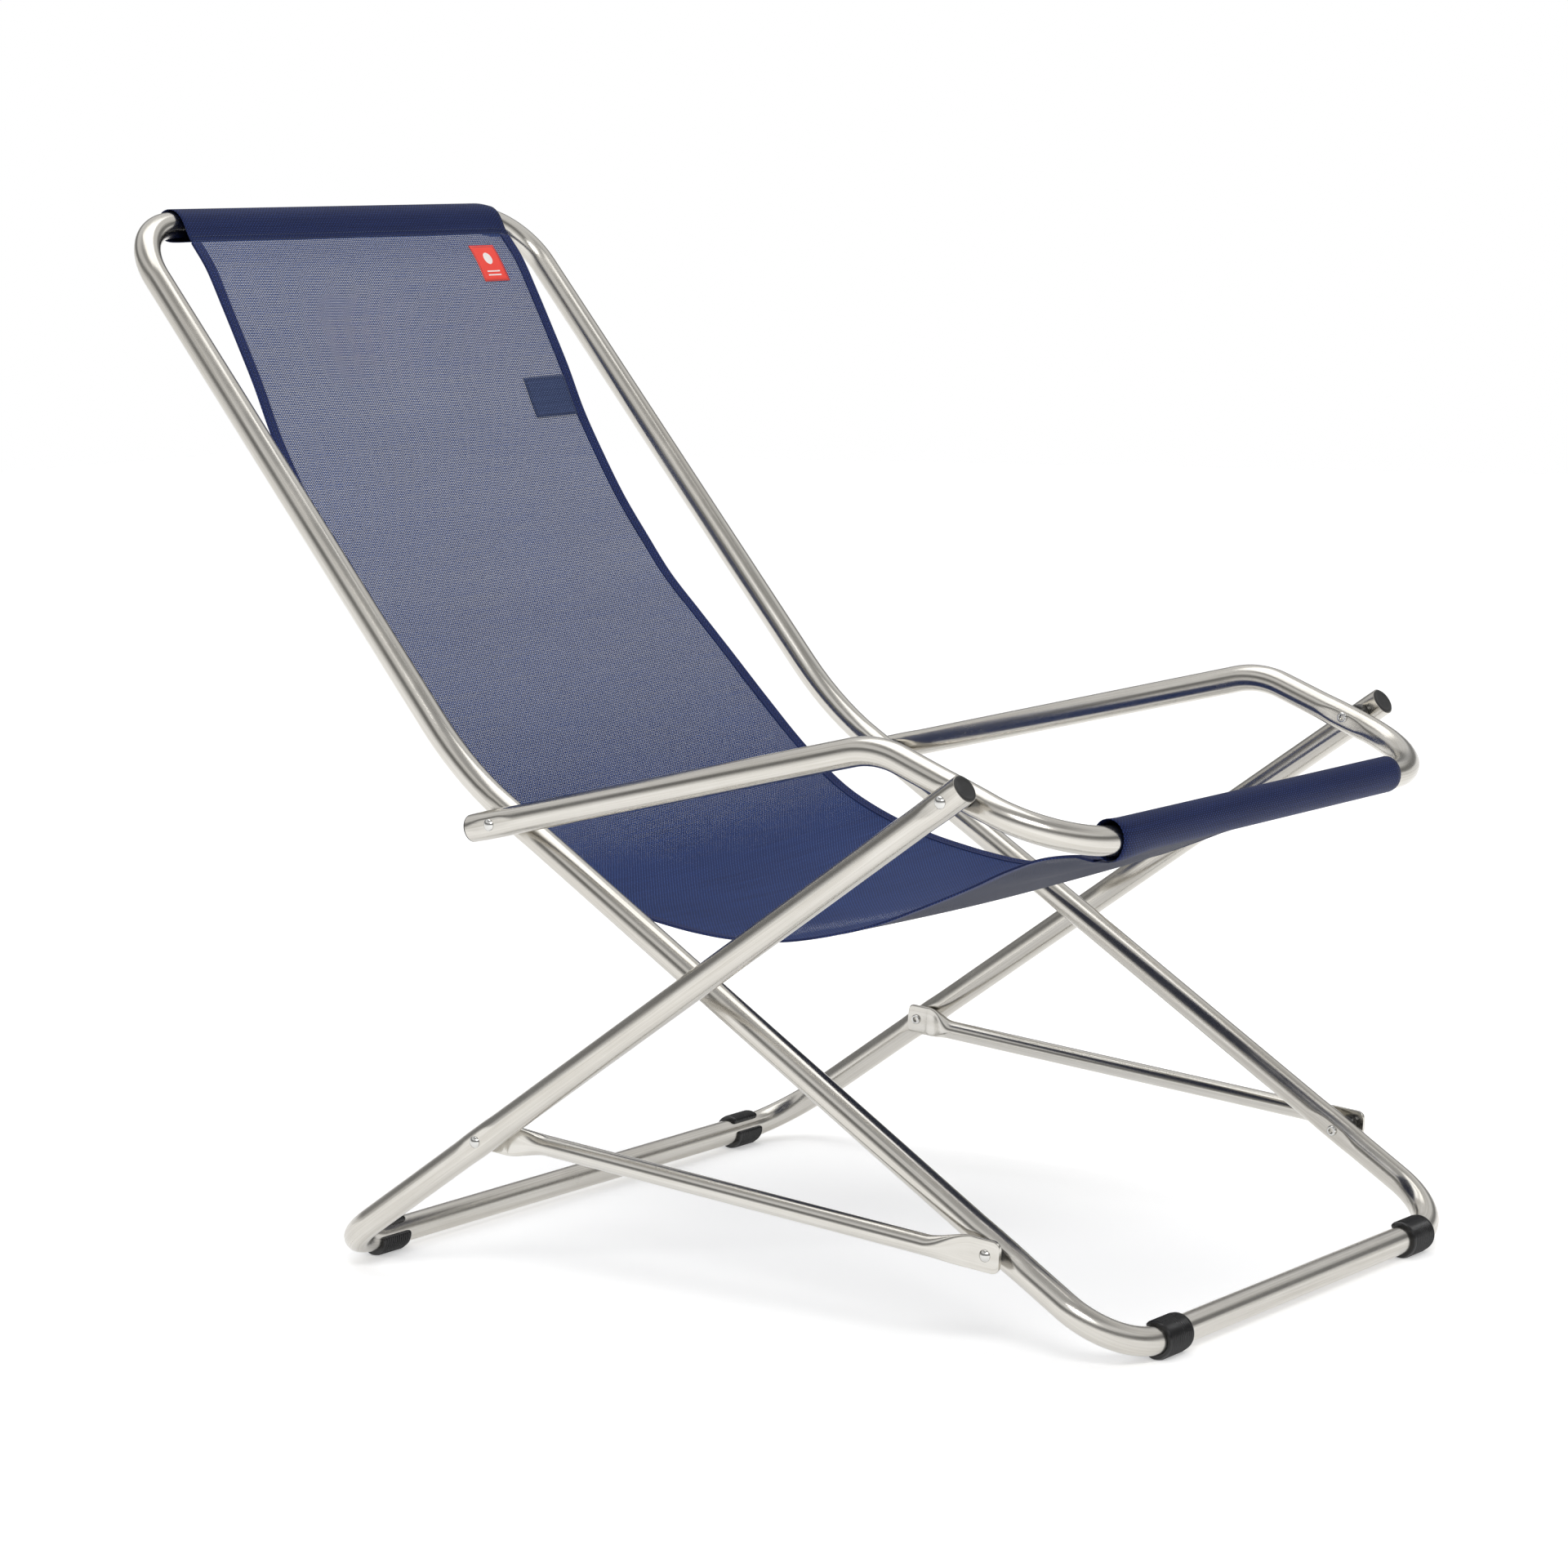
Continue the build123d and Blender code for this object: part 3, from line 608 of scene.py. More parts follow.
ALU = aluminium("alu_frame")
ALU_S = aluminium("alu_strut", base=(0.65, 0.635, 0.60), rough=0.19, scuff=0.7)
RIVET = aluminium("alu_rivet", base=(0.68, 0.68, 0.67), rough=0.16, streak=0.3, scuff=0.3)
BLACK = plastic("black_moulded")
PLUG = plastic("black_plug", base=(0.016, 0.016, 0.016), rough=0.42)
CLOTH_SOLID = mesh_cloth("navy_mesh_hem", phase=(0.35, 0.2), dark=(0.0050, 0.0095, 0.046), light=(0.064, 0.108, 0.380))
CLOTH_TAB = mesh_cloth("navy_mesh_tab", phase=(0.1, 0.4), dark=(0.016, 0.026, 0.070), light=(0.170, 0.235, 0.460))
THREAD = thread_mat("navy_thread", (0.016, 0.023, 0.060))
LABEL = label_mat("red_label")

# --------------------------------------------------------------------------
# tubes
# --------------------------------------------------------------------------


def q(x, yz):
    return (x, yz[0], yz[1])


def both(w, *pts):
    return [q(s * w, p) for p in pts for s in (-1, 1)]


def ride(ob, body, slot_name, *nodes):
    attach(ob, body)
    if nodes:
        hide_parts(*nodes)
    return ob


piv = both(WB, P1, P4)
path = fillet_path([q(-0.15, BACK_TOP), q(-WB, BACK_TOP), q(-WB, BACK_KINK), q(-WB, BACK_FLOOR), q(WB, BACK_FLOOR),
                    q(WB, BACK_KINK), q(WB, BACK_TOP), q(0.15, BACK_TOP)],
                   [R_TOP, R_KINK, R_FLOOR, R_FLOOR, R_KINK, R_TOP], dense_at=piv)
ride(tube("back_frame_polished", path, RT, ALU, piv), "back_frame", "frame_tube", "back_frame_tube")

piv = both(WA, P1, P2)
path = fillet_path([q(-WA, ARM_REAR), q(-WA, ARM_BEND), q(-WA, ARM_FRONT), q(WA, ARM_FRONT), q(WA, ARM_BEND), q(WA, ARM_REAR)],
                   [R_CREST, R_SEAT, R_SEAT, R_CREST], dense_at=piv)
ride(tube("arm_frame_polished", path, RT, ALU, piv), "arm_frame", "frame_tube", "arm_frame_tube")

piv = both(WL, P2, P3)
path = fillet_path([q(-WL, LEG_TOP), q(-WL, LEG_FLOOR), q(WL, LEG_FLOOR), q(WL, LEG_TOP)], [R_FLOOR, R_FLOOR], dense_at=piv)
ride(tube("leg_frame_polished", path, RT, ALU, piv), "leg_frame", "frame_tube", "leg_frame_tube")

# --------------------------------------------------------------------------
# struts: round tube whose ends are pressed flat and set off sideways
# --------------------------------------------------------------------------
X_STRUT = 277.3
FT, FW = 3.0, 25.0
X_REAR = WL - RT - 2.0 - FT / 2
X_FRONT = WB + RT + 8.0 + FT / 2
SL = math.hypot(P4[0] - P3[0], P4[1] - P3[1])
SD = np.array([0.0, (P4[0] - P3[0]) / SL, (P4[1] - P3[1]) / SL])
SN = np.array([0.0, -SD[2], SD[1]])


def smooth01(t):
    t = min(1.0, max(0.0, t))
    return t * t * (3 - 2 * t)


def strut(side, s):
    n = 56
    ang = np.linspace(0, 2 * math.pi, n, endpoint=False)
    c, sn = np.cos(ang), np.sin(ang)
    st = [-12.5, -12.2, -11.4, -10.0, -7.5, -4, 0, 4, 8, 11, 13, 14.5, 16] + list(np.arange(18, 52, 2.0)) + list(np.arange(56, SL / 2, 10.0))
    st = st + [SL - d for d in reversed(st)]
    rings, uvs = [], []
    for d in st:
        e = min(d, SL - d)                     # distance from the nearer pivot
        rear = d < SL / 2
        w = smooth01((e - 12.0) / 34.0)        # 0 flat, 1 round
        a = (FT / 2) * (1 - w) + RS * w        # half thickness across X
        b = (FW / 2) * (1 - w) + RS * w        # half height
        ex = 2.0 + 5.0 * (1 - w) ** 2          # boxier where it is flat
        xf = X_REAR if rear else X_FRONT
        xo = xf * (1 - w) + X_STRUT * w
        if e < -6.5:                           # rounded corners of the eye
            t = (-6.5 - e) / 6.0
            b = b - 6.0 * (1 - math.sqrt(max(0.0, 1 - t * t)))
        # a pressed crease just behind the eye
        crease = math.exp(-((e - 13.0) / 1.6) ** 2) * 0.45
        a2 = a - crease
        X = np.sign(c) * np.abs(c) ** (2 / ex) * a2
        Y = np.sign(sn) * np.abs(sn) ** (2 / ex) * b
        along = d * 0.70 if d < 0 else d       # the rear eye is cut shorter
        o = np.array([s * xo, P3[0], P3[1]]) + SD * along
        o[0] = s * xo
        rings.append(o + np.outer(X, [1, 0, 0]) + np.outer(Y, SN))
        uvs.append(np.stack([ang * 8 * 0.001, np.full(n, d * 0.001)], 1))
    b = Builder()
    bases = b.rings(rings, uvs)
    b.fan(bases[0], n, rings[0].mean(0), flip=True)
    b.fan(bases[-1], n, rings[-1].mean(0))
    ob = b.make("strut_" + side + "_pressed", ALU_S)
    weld(ob, 1e-6)
    sharpen(ob, 50)
    return ride(ob, "struts", "strut_tube", "strut_" + side)


for side, s in (("left", -1), ("right", 1)):
    strut(side, s)

# --------------------------------------------------------------------------
# rivets, spacers, plugs
# --------------------------------------------------------------------------
PRESS = 1.17


def head_profile(r=4.7, h=3.0):
    c = (0.16 + r * r - h * h) / (0.8 - 2 * h)
    R = h - c
    a = math.degrees(math.atan2(r, 0.4 - c))
    return [(0.0, r - 0.5), (0.0, r), (0.4, r)] + [p for p in arc_pts((c, 0), R, a, 0, 12)][1:]


def tail_profile(t=2.1):
    # hollow tail rolled over its washer-less seat, axis pointing inward
    return [(-4.0, 3.0), (0.0, 3.0), (0.0, 4.15), (0.35, 4.3), (t * 0.6, 4.15), (t * 0.9, 3.6), (t, 2.9), (t * 0.93, 2.3),
            (t * 0.55, 1.95), (-0.6, 1.8), (-3.0, 1.75), (-3.0, 0.0)]


for side, s in (("left", -1), ("right", 1)):
    out = (s, 0, 0)
    inn = (-s, 0, 0)

    def rivet(name, body, node_name, yz, xh=None, xt=None):
        objs = []
        if xh is not None:
            prof = [(-16.0, 0.0), (-16.0, 3.0), (0.0, 3.0)] + head_profile()
            objs.append(lathe(name + "_head_" + side, q(s * xh, yz), out, prof, RIVET))
        if xt is not None:
            objs.append(lathe(name + "_tail_" + side, q(s * xt, yz), inn, tail_profile(), RIVET, sides=40))
        for o in objs:
            ride(o, body, "rivet_metal", node_name + "_" + side)

    rivet("arm_back_rivet", "back_frame", "arm_back_rivet", P1, WA + RT - PRESS, WB - RT + PRESS)
    rivet("strut_back_rivet", "back_frame", "strut_back_rivet", P4, X_FRONT + FT / 2, WB - RT + PRESS)
    rivet("strut_leg_rivet", "leg_frame", "strut_leg_rivet", P3, WL + RT - PRESS, X_REAR - FT / 2)
    rivet("arm_leg_rivet", "leg_frame", "arm_leg_rivet_head", P2, WL + RT - PRESS, None)
    rivet("arm_leg_rivet_in", "arm_frame", "arm_leg_rivet_tail", P2, None, WA - RT + PRESS)

    def spacer(name, body, x0, x1, yz, r=7.8):
        h = x1 - x0
        e = min(0.5, h * 0.3)
        prof = [(0, 3.05), (0, r - e), (e * 0.3, r - e * 0.3), (e, r), (h - e, r), (h - e * 0.3, r - e * 0.3), (h, r - e), (h, 3.05)]
        ride(lathe(name + "_turned_" + side, q(s * x0, yz), out, prof, BLACK, smooth_angle=50), body, "black_plastic", name + "_" + side)

    spacer("arm_back_washer", "back_frame", WB + RT - PRESS, WA - RT + PRESS, P1)
    spacer("strut_back_spacer", "back_frame", WB + RT - PRESS, X_FRONT - FT / 2, P4, 7.9)
    spacer("strut_leg_washer", "leg_frame", X_REAR + FT / 2, WL - RT + PRESS, P3)
    spacer("arm_leg_spacer", "leg_frame", WA + RT + 0.1, WL - RT + PRESS, P2)

    for nm, body, w, end, back in (("leg_plug", "leg_frame", WL, LEG_TOP, P2), ("arm_plug", "arm_frame", WA, ARM_REAR, P1)):
        d = np.array([0.0, end[0] - back[0], end[1] - back[1]])
        d /= np.linalg.norm(d)
        rf, tf = (10.9, 1.5) if nm == "arm_plug" else (10.4, 1.0)
        prof = [(-9.0, 0.0), (-9.0, 8.6), (-8.2, 9.2), (-1.2, 9.46), (0.02, 9.46), (0.02, rf - 0.2), (0.2, rf), (tf * 0.6, rf), (tf * 0.9, rf - 0.35),
                (tf, rf - 1.0), (tf, 8.0), (tf - 0.2, 7.4), (tf - 0.3, 6.6), (tf - 0.3, 3.2), (tf - 0.3, 0.0)]
        ride(lathe(nm + "_insert_" + side, q(s * w, end), d, prof, PLUG, up=(1, 0, 0), smooth_angle=40), body, "black_plastic", nm + "_" + side)

# --------------------------------------------------------------------------
# feet: ribbed clips
# --------------------------------------------------------------------------
FOOT_LEN = 33.0


def foot(name, body, node_name, yz, w0, s, face):
    """Slit rubber ring, ribbed between two smooth collars, that grips the bar from below."""
    ri, rb, ro = RT + 0.05, 13.0, 14.6
    a0, a1 = 49.0, 368.0                      # wrapped range, from the slit's upper lip over the top and round
    na = 112
    ribs = 11
    first, last = 2.9, FOOT_LEN - 2.3
    per = (last - first) / ribs
    sta = [0.0, 0.35, 0.9, 1.6, 2.4]
    prof = [0.80] * 5
    for i in range(ribs):
        for t, k in ((0.0, 0.0), (0.16, 0.12), (0.3, 0.72), (0.42, 0.96), (0.54, 1.0), (0.66, 0.9), (0.78, 0.5), (0.9, 0.05)):
            sta.append(first + (i + t) * per)
            prof.append(k)
    sta += [last, last + 0.5, last + 1.1, last + 1.7, FOOT_LEN]
    prof += [0.0] + [0.80] * 4
    b = Builder()
    grid_o, grid_i = [], []
    for x, k in zip(sta, prof):
        end = min(x, FOOT_LEN - x)
        pull = math.degrees((1 - math.sqrt(max(0.0, 1 - max(0.0, 1 - end / 2.2) ** 2))) * 2.2 / 14.0)
        round_end = 0.72 + 0.28 * math.sin(min(1.0, end / 1.9) * math.pi / 2)
        ro_ring, ri_ring = [], []
        for j in range(na):
            deg = a0 + pull + (a1 - a0 - 2 * pull) * j / (na - 1)
            a = math.radians(deg)
            z = math.sin(a)
            rr = rb + (ro - rb) * k
            if z < -0.86:                     # a little rubber more where it stands, worn flat
                rr = min(rr + 0.75 * smooth01((-z - 0.86) / 0.12), FLOOR_AXIS / -z)
            lip = min(j, na - 1 - j) / 4.0
            if lip < 1:
                rr = ri + (rr - ri) * (0.30 + 0.70 * math.sqrt(max(0.0, 1 - (1 - lip) ** 2)))
            rr = ri + (rr - ri) * round_end
            cy, cz = face * math.cos(a), z
            ro_ring.append((s * (w0 + x), yz[0] + cy * rr, yz[1] + cz * rr))
            ri_ring.append((s * (w0 + x), yz[0] + cy * ri, yz[1] + cz * ri))
        grid_o.append(np.array(ro_ring))
        grid_i.append(np.array(ri_ring))
    bo = b.rings(grid_o, closed=False)
    bi = b.rings(grid_i, closed=False, flip=True)
    for g, h in ((bo[0], bi[0]), (bi[-1], bo[-1])):
        for j in range(na - 1):
            b.f.append((g + j, h + j, h + j + 1, g + j + 1))
    for i in range(len(sta) - 1):
        for j in (0, na - 1):
            f = (bo[i] + j, bo[i + 1] + j, bi[i + 1] + j, bi[i] + j)
            b.f.append(f if j else f[::-1])
    ob = b.make(name, BLACK)
    weld(ob, 1e-6)
    sharpen(ob, 48)
    return ride(ob, body, "black_plastic", node_name)


for side, s in (("left", -1), ("right", 1)):
    foot("front_clip_" + side, "back_frame", "front_foot_" + side, BACK_FLOOR, WB - R_FLOOR - FOOT_LEN + 6.5, s, 1)
    foot("rear_clip_" + side, "leg_frame", "rear_foot_" + side, LEG_FLOOR, WL - R_FLOOR - FOOT_LEN + 6.5, s, -1)

# --------------------------------------------------------------------------
# the sling: one length of mesh, folded round both bars and sewn
# --------------------------------------------------------------------------
TH = 0.32                     # cloth thickness
HALF = 202.0
GAP = 0.55                    # cloth to tube
SEAM_TOP = (926.6, 820.0)

BACK_PTS = [(908.5, 796.5), (891.0, 765.0), (873.5, 731.5), (857.5, 700.0), (839.5, 660.0), (816.0, 618.5), (794.0, 583.5),
            (769.0, 550.0), (743.5, 517.5), (710.0, 483.5), (675.5, 448.5), (640.0, 411.5), (603.0, 374.0), (576.0, 350.5),
            (548.0, 331.0), (508.0, 312.5), (464.0, 299.0), (424.0, 291.3), (401.0, 288.0), (370.0, 285.2), (322.0, 285.5),
            (276.0, 292.5), (231.0, 303.8), (197.0, 316.0), (143.0, 337.5), (111.0, 351.8), (80.0, 362.8), (52.0, 367.6)]


def wrap(centre, r0, r1, a0, a1, n):
    """Arc (spiral) in (forward, up) terms: angle 0 is forward (-Y), 90 is up."""
    out = []
    for i in range(n + 1):
        t = i / n
        a = math.radians(a0 + (a1 - a0) * t)
        r = r0 + (r1 - r0) * t
        out.append((centre[0] - math.cos(a) * r, centre[1] + math.sin(a) * r))
    return out


TOPC = (949.0, 832.0)
FRC = (20.0, 381.0)
ro = RT + GAP + TH / 2
# top: from the seam's inner flap, under the bar, up behind it, over the top and down to the seam
loop_top = [(927.5, 818.4), (933.0, 818.0), (941.0, 817.9), (950.0, 818.3), (957.5, 820.4), (962.0, 825.0), (963.5, 831.5), (962.3, 837.6),
            (958.6, 842.4), (953.3, 844.9), (947.0, 845.1), (941.2, 842.9), (936.8, 839.0), (933.2, 833.5), (930.0, 826.5), SEAM_TOP]
# front: main sheet under the bar, up the front, over the top, down behind, under again
LOOSE = (20.2, 383.2)


def oval(pts):
    return [(y, LOOSE[1] + (z - LOOSE[1]) * 1.065) for y, z in pts]


rl = 13.0
loop_front = [(34.0, 368.3)] + oval(wrap(LOOSE, rl + 0.7, rl, -88, -62, 3) + wrap(LOOSE, rl, rl, -50, 235, 30) + wrap(LOOSE, rl, rl - 0.1, 243, 262, 3))
FULL = loop_top + BACK_PTS + loop_front


def resample(pts, step):
    p = np.array(pts, float)
    d = np.concatenate([[0], np.cumsum(np.linalg.norm(np.diff(p, axis=0), axis=1))])
    # smooth through the points with a centripetal Catmull-Rom
    out = []
    for i in range(len(p) - 1):
        p0 = p[i - 1] if i > 0 else 2 * p[i] - p[i + 1]
        p1, p2 = p[i], p[i + 1]
        p3 = p[i + 2] if i + 2 < len(p) else 2 * p[i + 1] - p[i]
        t0 = 0.0
        t1 = t0 + max(1e-6, np.linalg.norm(p1 - p0)) ** 0.5
        t2 = t1 + max(1e-6, np.linalg.norm(p2 - p1)) ** 0.5
        t3 = t2 + max(1e-6, np.linalg.norm(p3 - p2)) ** 0.5
        n = max(1, int(round((d[i + 1] - d[i]) / 1.0)))
        for j in range(n):
            t = t1 + (t2 - t1) * j / n
            A1 = (t1 - t) / (t1 - t0) * p0 + (t - t0) / (t1 - t0) * p1
            A2 = (t2 - t) / (t2 - t1) * p1 + (t - t1) / (t2 - t1) * p2
            A3 = (t3 - t) / (t3 - t2) * p2 + (t - t2) / (t3 - t2) * p3
            B1 = (t2 - t) / (t2 - t0) * A1 + (t - t0) / (t2 - t0) * A2
            B2 = (t3 - t) / (t3 - t1) * A2 + (t - t1) / (t3 - t1) * A3
            out.append((t2 - t) / (t2 - t1) * B1 + (t - t1) / (t2 - t1) * B2)
    out.append(p[-1])
    o = np.array(out)
    L = np.concatenate([[0], np.cumsum(np.linalg.norm(np.diff(o, axis=0), axis=1))])
    total = L[-1]
    s = np.linspace(0, total, int(round(total / step)) + 1)
    return np.stack([np.interp(s, L, o[:, 0]), np.interp(s, L, o[:, 1])], 1), s


PROF, S_ARC = resample(FULL, 3.2)
TOTAL = float(S_ARC[-1])
top_len = float(np.linalg.norm(np.diff(np.array(loop_top), axis=0), axis=1).sum())
front_len = float(np.linalg.norm(np.diff(np.array(loop_front), axis=0), axis=1).sum())
S_MAIN0 = top_len
S_MAIN1 = TOTAL - front_len


def unit(a, b):
    n = math.hypot(b[0] - a[0], b[1] - a[1])
    return (b[0] - a[0]) / n, (b[1] - a[1]) / n


BACK_DIR = unit(BACK_TOP, BACK_KINK)
ARM_DIR = unit(ARM_FRONT, ARM_BEND)


def sling_point(i, x, lift=0.0):
    """Point i of the profile at width x, raised by lift along the cloth's upper side."""
    y, z = PROF[i]
    a = PROF[max(i - 1, 0)]
    b = PROF[min(i + 1, len(PROF) - 1)]
    t = (b - a) / np.linalg.norm(b - a)
    s = S_ARC[i]
    # in the main run the sitter's side is forward and up
    n = np.array([t[1], -t[0]])
    free = max(0.0, min(1.0, min((s - S_MAIN0) / 60.0, (S_MAIN1 - s) / 60.0)))
    free = free * free * (3 - 2 * free)
    k = (s - S_MAIN0) / (S_MAIN1 - S_MAIN0)
    xn = x / HALF
    # belly: the middle hangs a little lower than the sides, the sides lift slightly
    seat = math.exp(-((k - 0.66) / 0.20) ** 2)
    back = math.exp(-((k - 0.25) / 0.22) ** 2)
    sag = -(7.0 * seat + 3.0 * back) * (1 - xn * xn) * free
    # the near side lies a few millimetres lower in the seat than the far one
    tilt = 5.0 * xn * math.exp(-((k - 0.60) / 0.16) ** 2) * free
    # slack ripples, faint and slow
    rip = 0.55 * math.sin(x / 31.0 + 2.2 * math.sin(s / 170.0)) * math.exp(-((k - 0.93) / 0.10) ** 2) * free
    rip += 0.35 * math.sin(x / 23.0 + 0.7) * math.exp(-((k - 0.05) / 0.07) ** 2) * free
    rip += 0.8 * math.sin((x + 0.8 * s) / 95.0) * math.exp(-((k - 0.62) / 0.2) ** 2) * free
    d = sag + tilt + rip + lift
    # the sling hangs a little askew: to one side at the top, to the other at the front
    kk = min(1.0, max(0.0, k))
    shift = 7.5 - 21.0 * kk
    over = abs(x + shift) - (WB - R_TOP)
    if s < S_MAIN0 + 12.0 and over > 0:
        dip = (R_TOP - math.sqrt(R_TOP ** 2 - over ** 2)) * min(1.0, (S_MAIN0 + 12.0 - s) / 14.0)
        y, z = y + dip * BACK_DIR[0], z + dip * BACK_DIR[1]
    over = abs(x + shift) - (WA - R_SEAT)
    if s > S_MAIN1 - 12.0 and over > 0:
        dip = 0.8 * (R_SEAT - math.sqrt(R_SEAT ** 2 - over ** 2)) * min(1.0, (s - S_MAIN1 + 12.0) / 14.0)
        y, z = y + dip * ARM_DIR[0], z + dip * ARM_DIR[1]
    # the cloth bellies out just behind the front bar
    t = (S_MAIN1 - s) / 150.0
    if 0.0 < t < 1.0:
        z -= 12.0 * 6.75 * t * (1 - t) ** 2 * smooth01((x + 205.0) / 120.0) * (1 - 0.7 * smooth01((x - 10.0) / 120.0))
    # and the loop's near end hangs a little open below the bar
    if s > S_MAIN1 - 16.0:
        z -= 3.2 * smooth01((-HALF + 60.0 - x) / 60.0) * max(0.0, min(1.0, (381.0 - z) / 10.0)) * min(1.0, (s - S_MAIN1 + 16.0) / 16.0)
    return np.array([x + shift, y + n[0] * d, z + n[1] * d]) - np.array([0.0, Y0, 0.0])


def cloth_grid(name, s0, s1, xs, lift, mat, thick=TH, uv_off=(0.0, 0.0), roll=None):
    idx = [i for i in range(len(S_ARC)) if s0 <= S_ARC[i] <= s1]
    v, uv = [], []
    for i in idx:
        for x in xs:
            v.append(sling_point(i, x, lift + (roll(abs(x)) if roll else 0.0)))
            uv.append((x * 0.001 + uv_off[0], S_ARC[i] * 0.001 + uv_off[1]))
    n = len(xs)
    f = []
    for a in range(len(idx) - 1):
        for j in range(n - 1):
            f.append((a * n + j, a * n + j + 1, (a + 1) * n + j + 1, (a + 1) * n + j))
    ob = make_mesh(name, v, f, uv, True, mat)
    m = ob.modifiers.new("Solid", "SOLIDIFY")
    m.thickness = thick * MM
    m.offset = 0.0
    m.use_even_offset = False
    bpy.context.view_layer.objects.active = ob
    with bpy.context.temp_override(object=ob, active_object=ob, selected_objects=[ob]):
        bpy.ops.object.modifier_apply(modifier=m.name)
    return ob


xs = np.linspace(-HALF, HALF, 83)
CLOTH = mesh_cloth("navy_mesh", see_through=((S_MAIN0 + 2.5) * MM, (S_MAIN1 - 1.0) * MM))
sling = cloth_grid("sling_cloth", 0, TOTAL, xs, 0.0, CLOTH)
# painted shade: the cloth's underside gets a darker copy of the cloth
UNDERSIDE_PAINTED_SHADE_CLOTH = mesh_cloth("navy_mesh_underside_painted_shade", see_through=((S_MAIN0 + 2.5) * MM, (S_MAIN1 - 1.0) * MM), dark=(0.0045, 0.007, 0.022), light=(0.024, 0.040, 0.110))
sling.data.materials.append(UNDERSIDE_PAINTED_SHADE_CLOTH)
cols = len(xs) - 1
n_face = cols * (len(S_ARC) - 1)
# faces of the main run that face away from the sitter's side take the darker, painted-shade copy
for p in sling.data.polygons:
    if p.index < 2 * n_face:
        k = (p.index % n_face) // cols
        out_dir = sling_point(k, 0.0, 1.0) - sling_point(k, 0.0, 0.0)
        if S_MAIN0 < S_ARC[k] < S_MAIN1 and float(np.dot(np.array(p.normal), out_dir)) < 0:
            p.material_index = 1

# turned side hems: a flat inner strip, a sewn groove and a rounded outer fold
HEM = 11.0


def fold_up(ax):
    d = HALF + 0.6 - ax                     # distance from the outer edge
    if d < 5.2:
        return 0.95 * math.sqrt(max(0.0, 1.0 - ((d - 2.6) / 2.6) ** 2)) - (0.35 if d < 0.3 else 0.0)
    return 0.16 * min(1.0, (d - 5.2) / 1.5)


hems = []
for side, s in (("left", -1), ("right", 1)):
    hx = (HALF + 0.6 - np.array([HEM, 9.5, 7.4, 6.2, 5.5, 5.15, 4.6, 3.8, 2.6, 1.6, 0.8, 0.25, 0.0])) * s
    if s < 0:
        hx = hx[::-1]
    h = cloth_grid("side_hem_" + side, S_MAIN0 + 1.0, S_MAIN1 + 1.0, hx, TH + 0.05, CLOTH_SOLID, TH, roll=fold_up)
    u = cloth_grid("side_hem_under_" + side, S_MAIN0 + 1.0, S_MAIN1 + 1.0, hx, -TH - 0.05, CLOTH_SOLID, TH * 0.8)
    hems += [h, u]


def s_at(yz_uz):
    """arc length nearest to a point given in (distance from the front origin, z)"""
    d = np.hypot(PROF[:, 0] - yz_uz[0], PROF[:, 1] - yz_uz[1])
    m = (S_ARC >= S_MAIN0) & (S_ARC <= S_MAIN1)
    d = np.where(m, d, 1e9)
    return float(S_ARC[int(np.argmin(d))])


def at_s(s, x, lift):
    i = float(np.interp(s, S_ARC, np.arange(len(S_ARC))))
    a, t = int(i), i - int(i)
    b = min(a + 1, len(S_ARC) - 1)
    return sling_point(a, x, lift) * (1 - t) + sling_point(b, x, lift) * t


# red label, sewn near the top right corner
def patch(name, s0, s1, x0, x1, lift, mat, thick, unit_uv, nx=10, ns=10, curl=0.0):
    v, uv = [], []
    for a in range(ns + 1):
        for j in range(nx + 1):
            s = s0 + (s1 - s0) * a / ns
            x = x0 + (x1 - x0) * j / nx
            cl = curl * (abs(2 * j / nx - 1) ** 6 + abs(2 * a / ns - 1) ** 6)
            v.append(at_s(s, x, lift + cl))
            uv.append((j / nx, 1 - a / ns) if unit_uv else (x * 0.001 + 0.0003, s * 0.001 + 0.0004))
    n = nx + 1
    f = [(a * n + j, a * n + j + 1, (a + 1) * n + j + 1, (a + 1) * n + j) for a in range(ns) for j in range(nx)]
    ob = make_mesh(name, v, f, uv, True, mat)
    m = ob.modifiers.new("Solid", "SOLIDIFY")
    m.thickness = thick * MM
    m.offset = 0.0
    with bpy.context.temp_override(object=ob, active_object=ob, selected_objects=[ob]):
        bpy.ops.object.modifier_apply(modifier=m.name)
    return ob


label = patch("care_label", S_MAIN0 + 16.5, S_MAIN0 + 53.5, 138.0, 170.5, TH + 0.35, LABEL, 0.45, True, curl=0.15)
s_tab = S_MAIN0 + 167.5
tab = patch("edge_tab", s_tab - 19.0, s_tab + 19.0, 136.5, HALF - 11.0, TH + 0.75, CLOTH_TAB, 0.6, False, nx=18, ns=12)

# --------------------------------------------------------------------------
# stitching: real thread lying on the cloth
# --------------------------------------------------------------------------


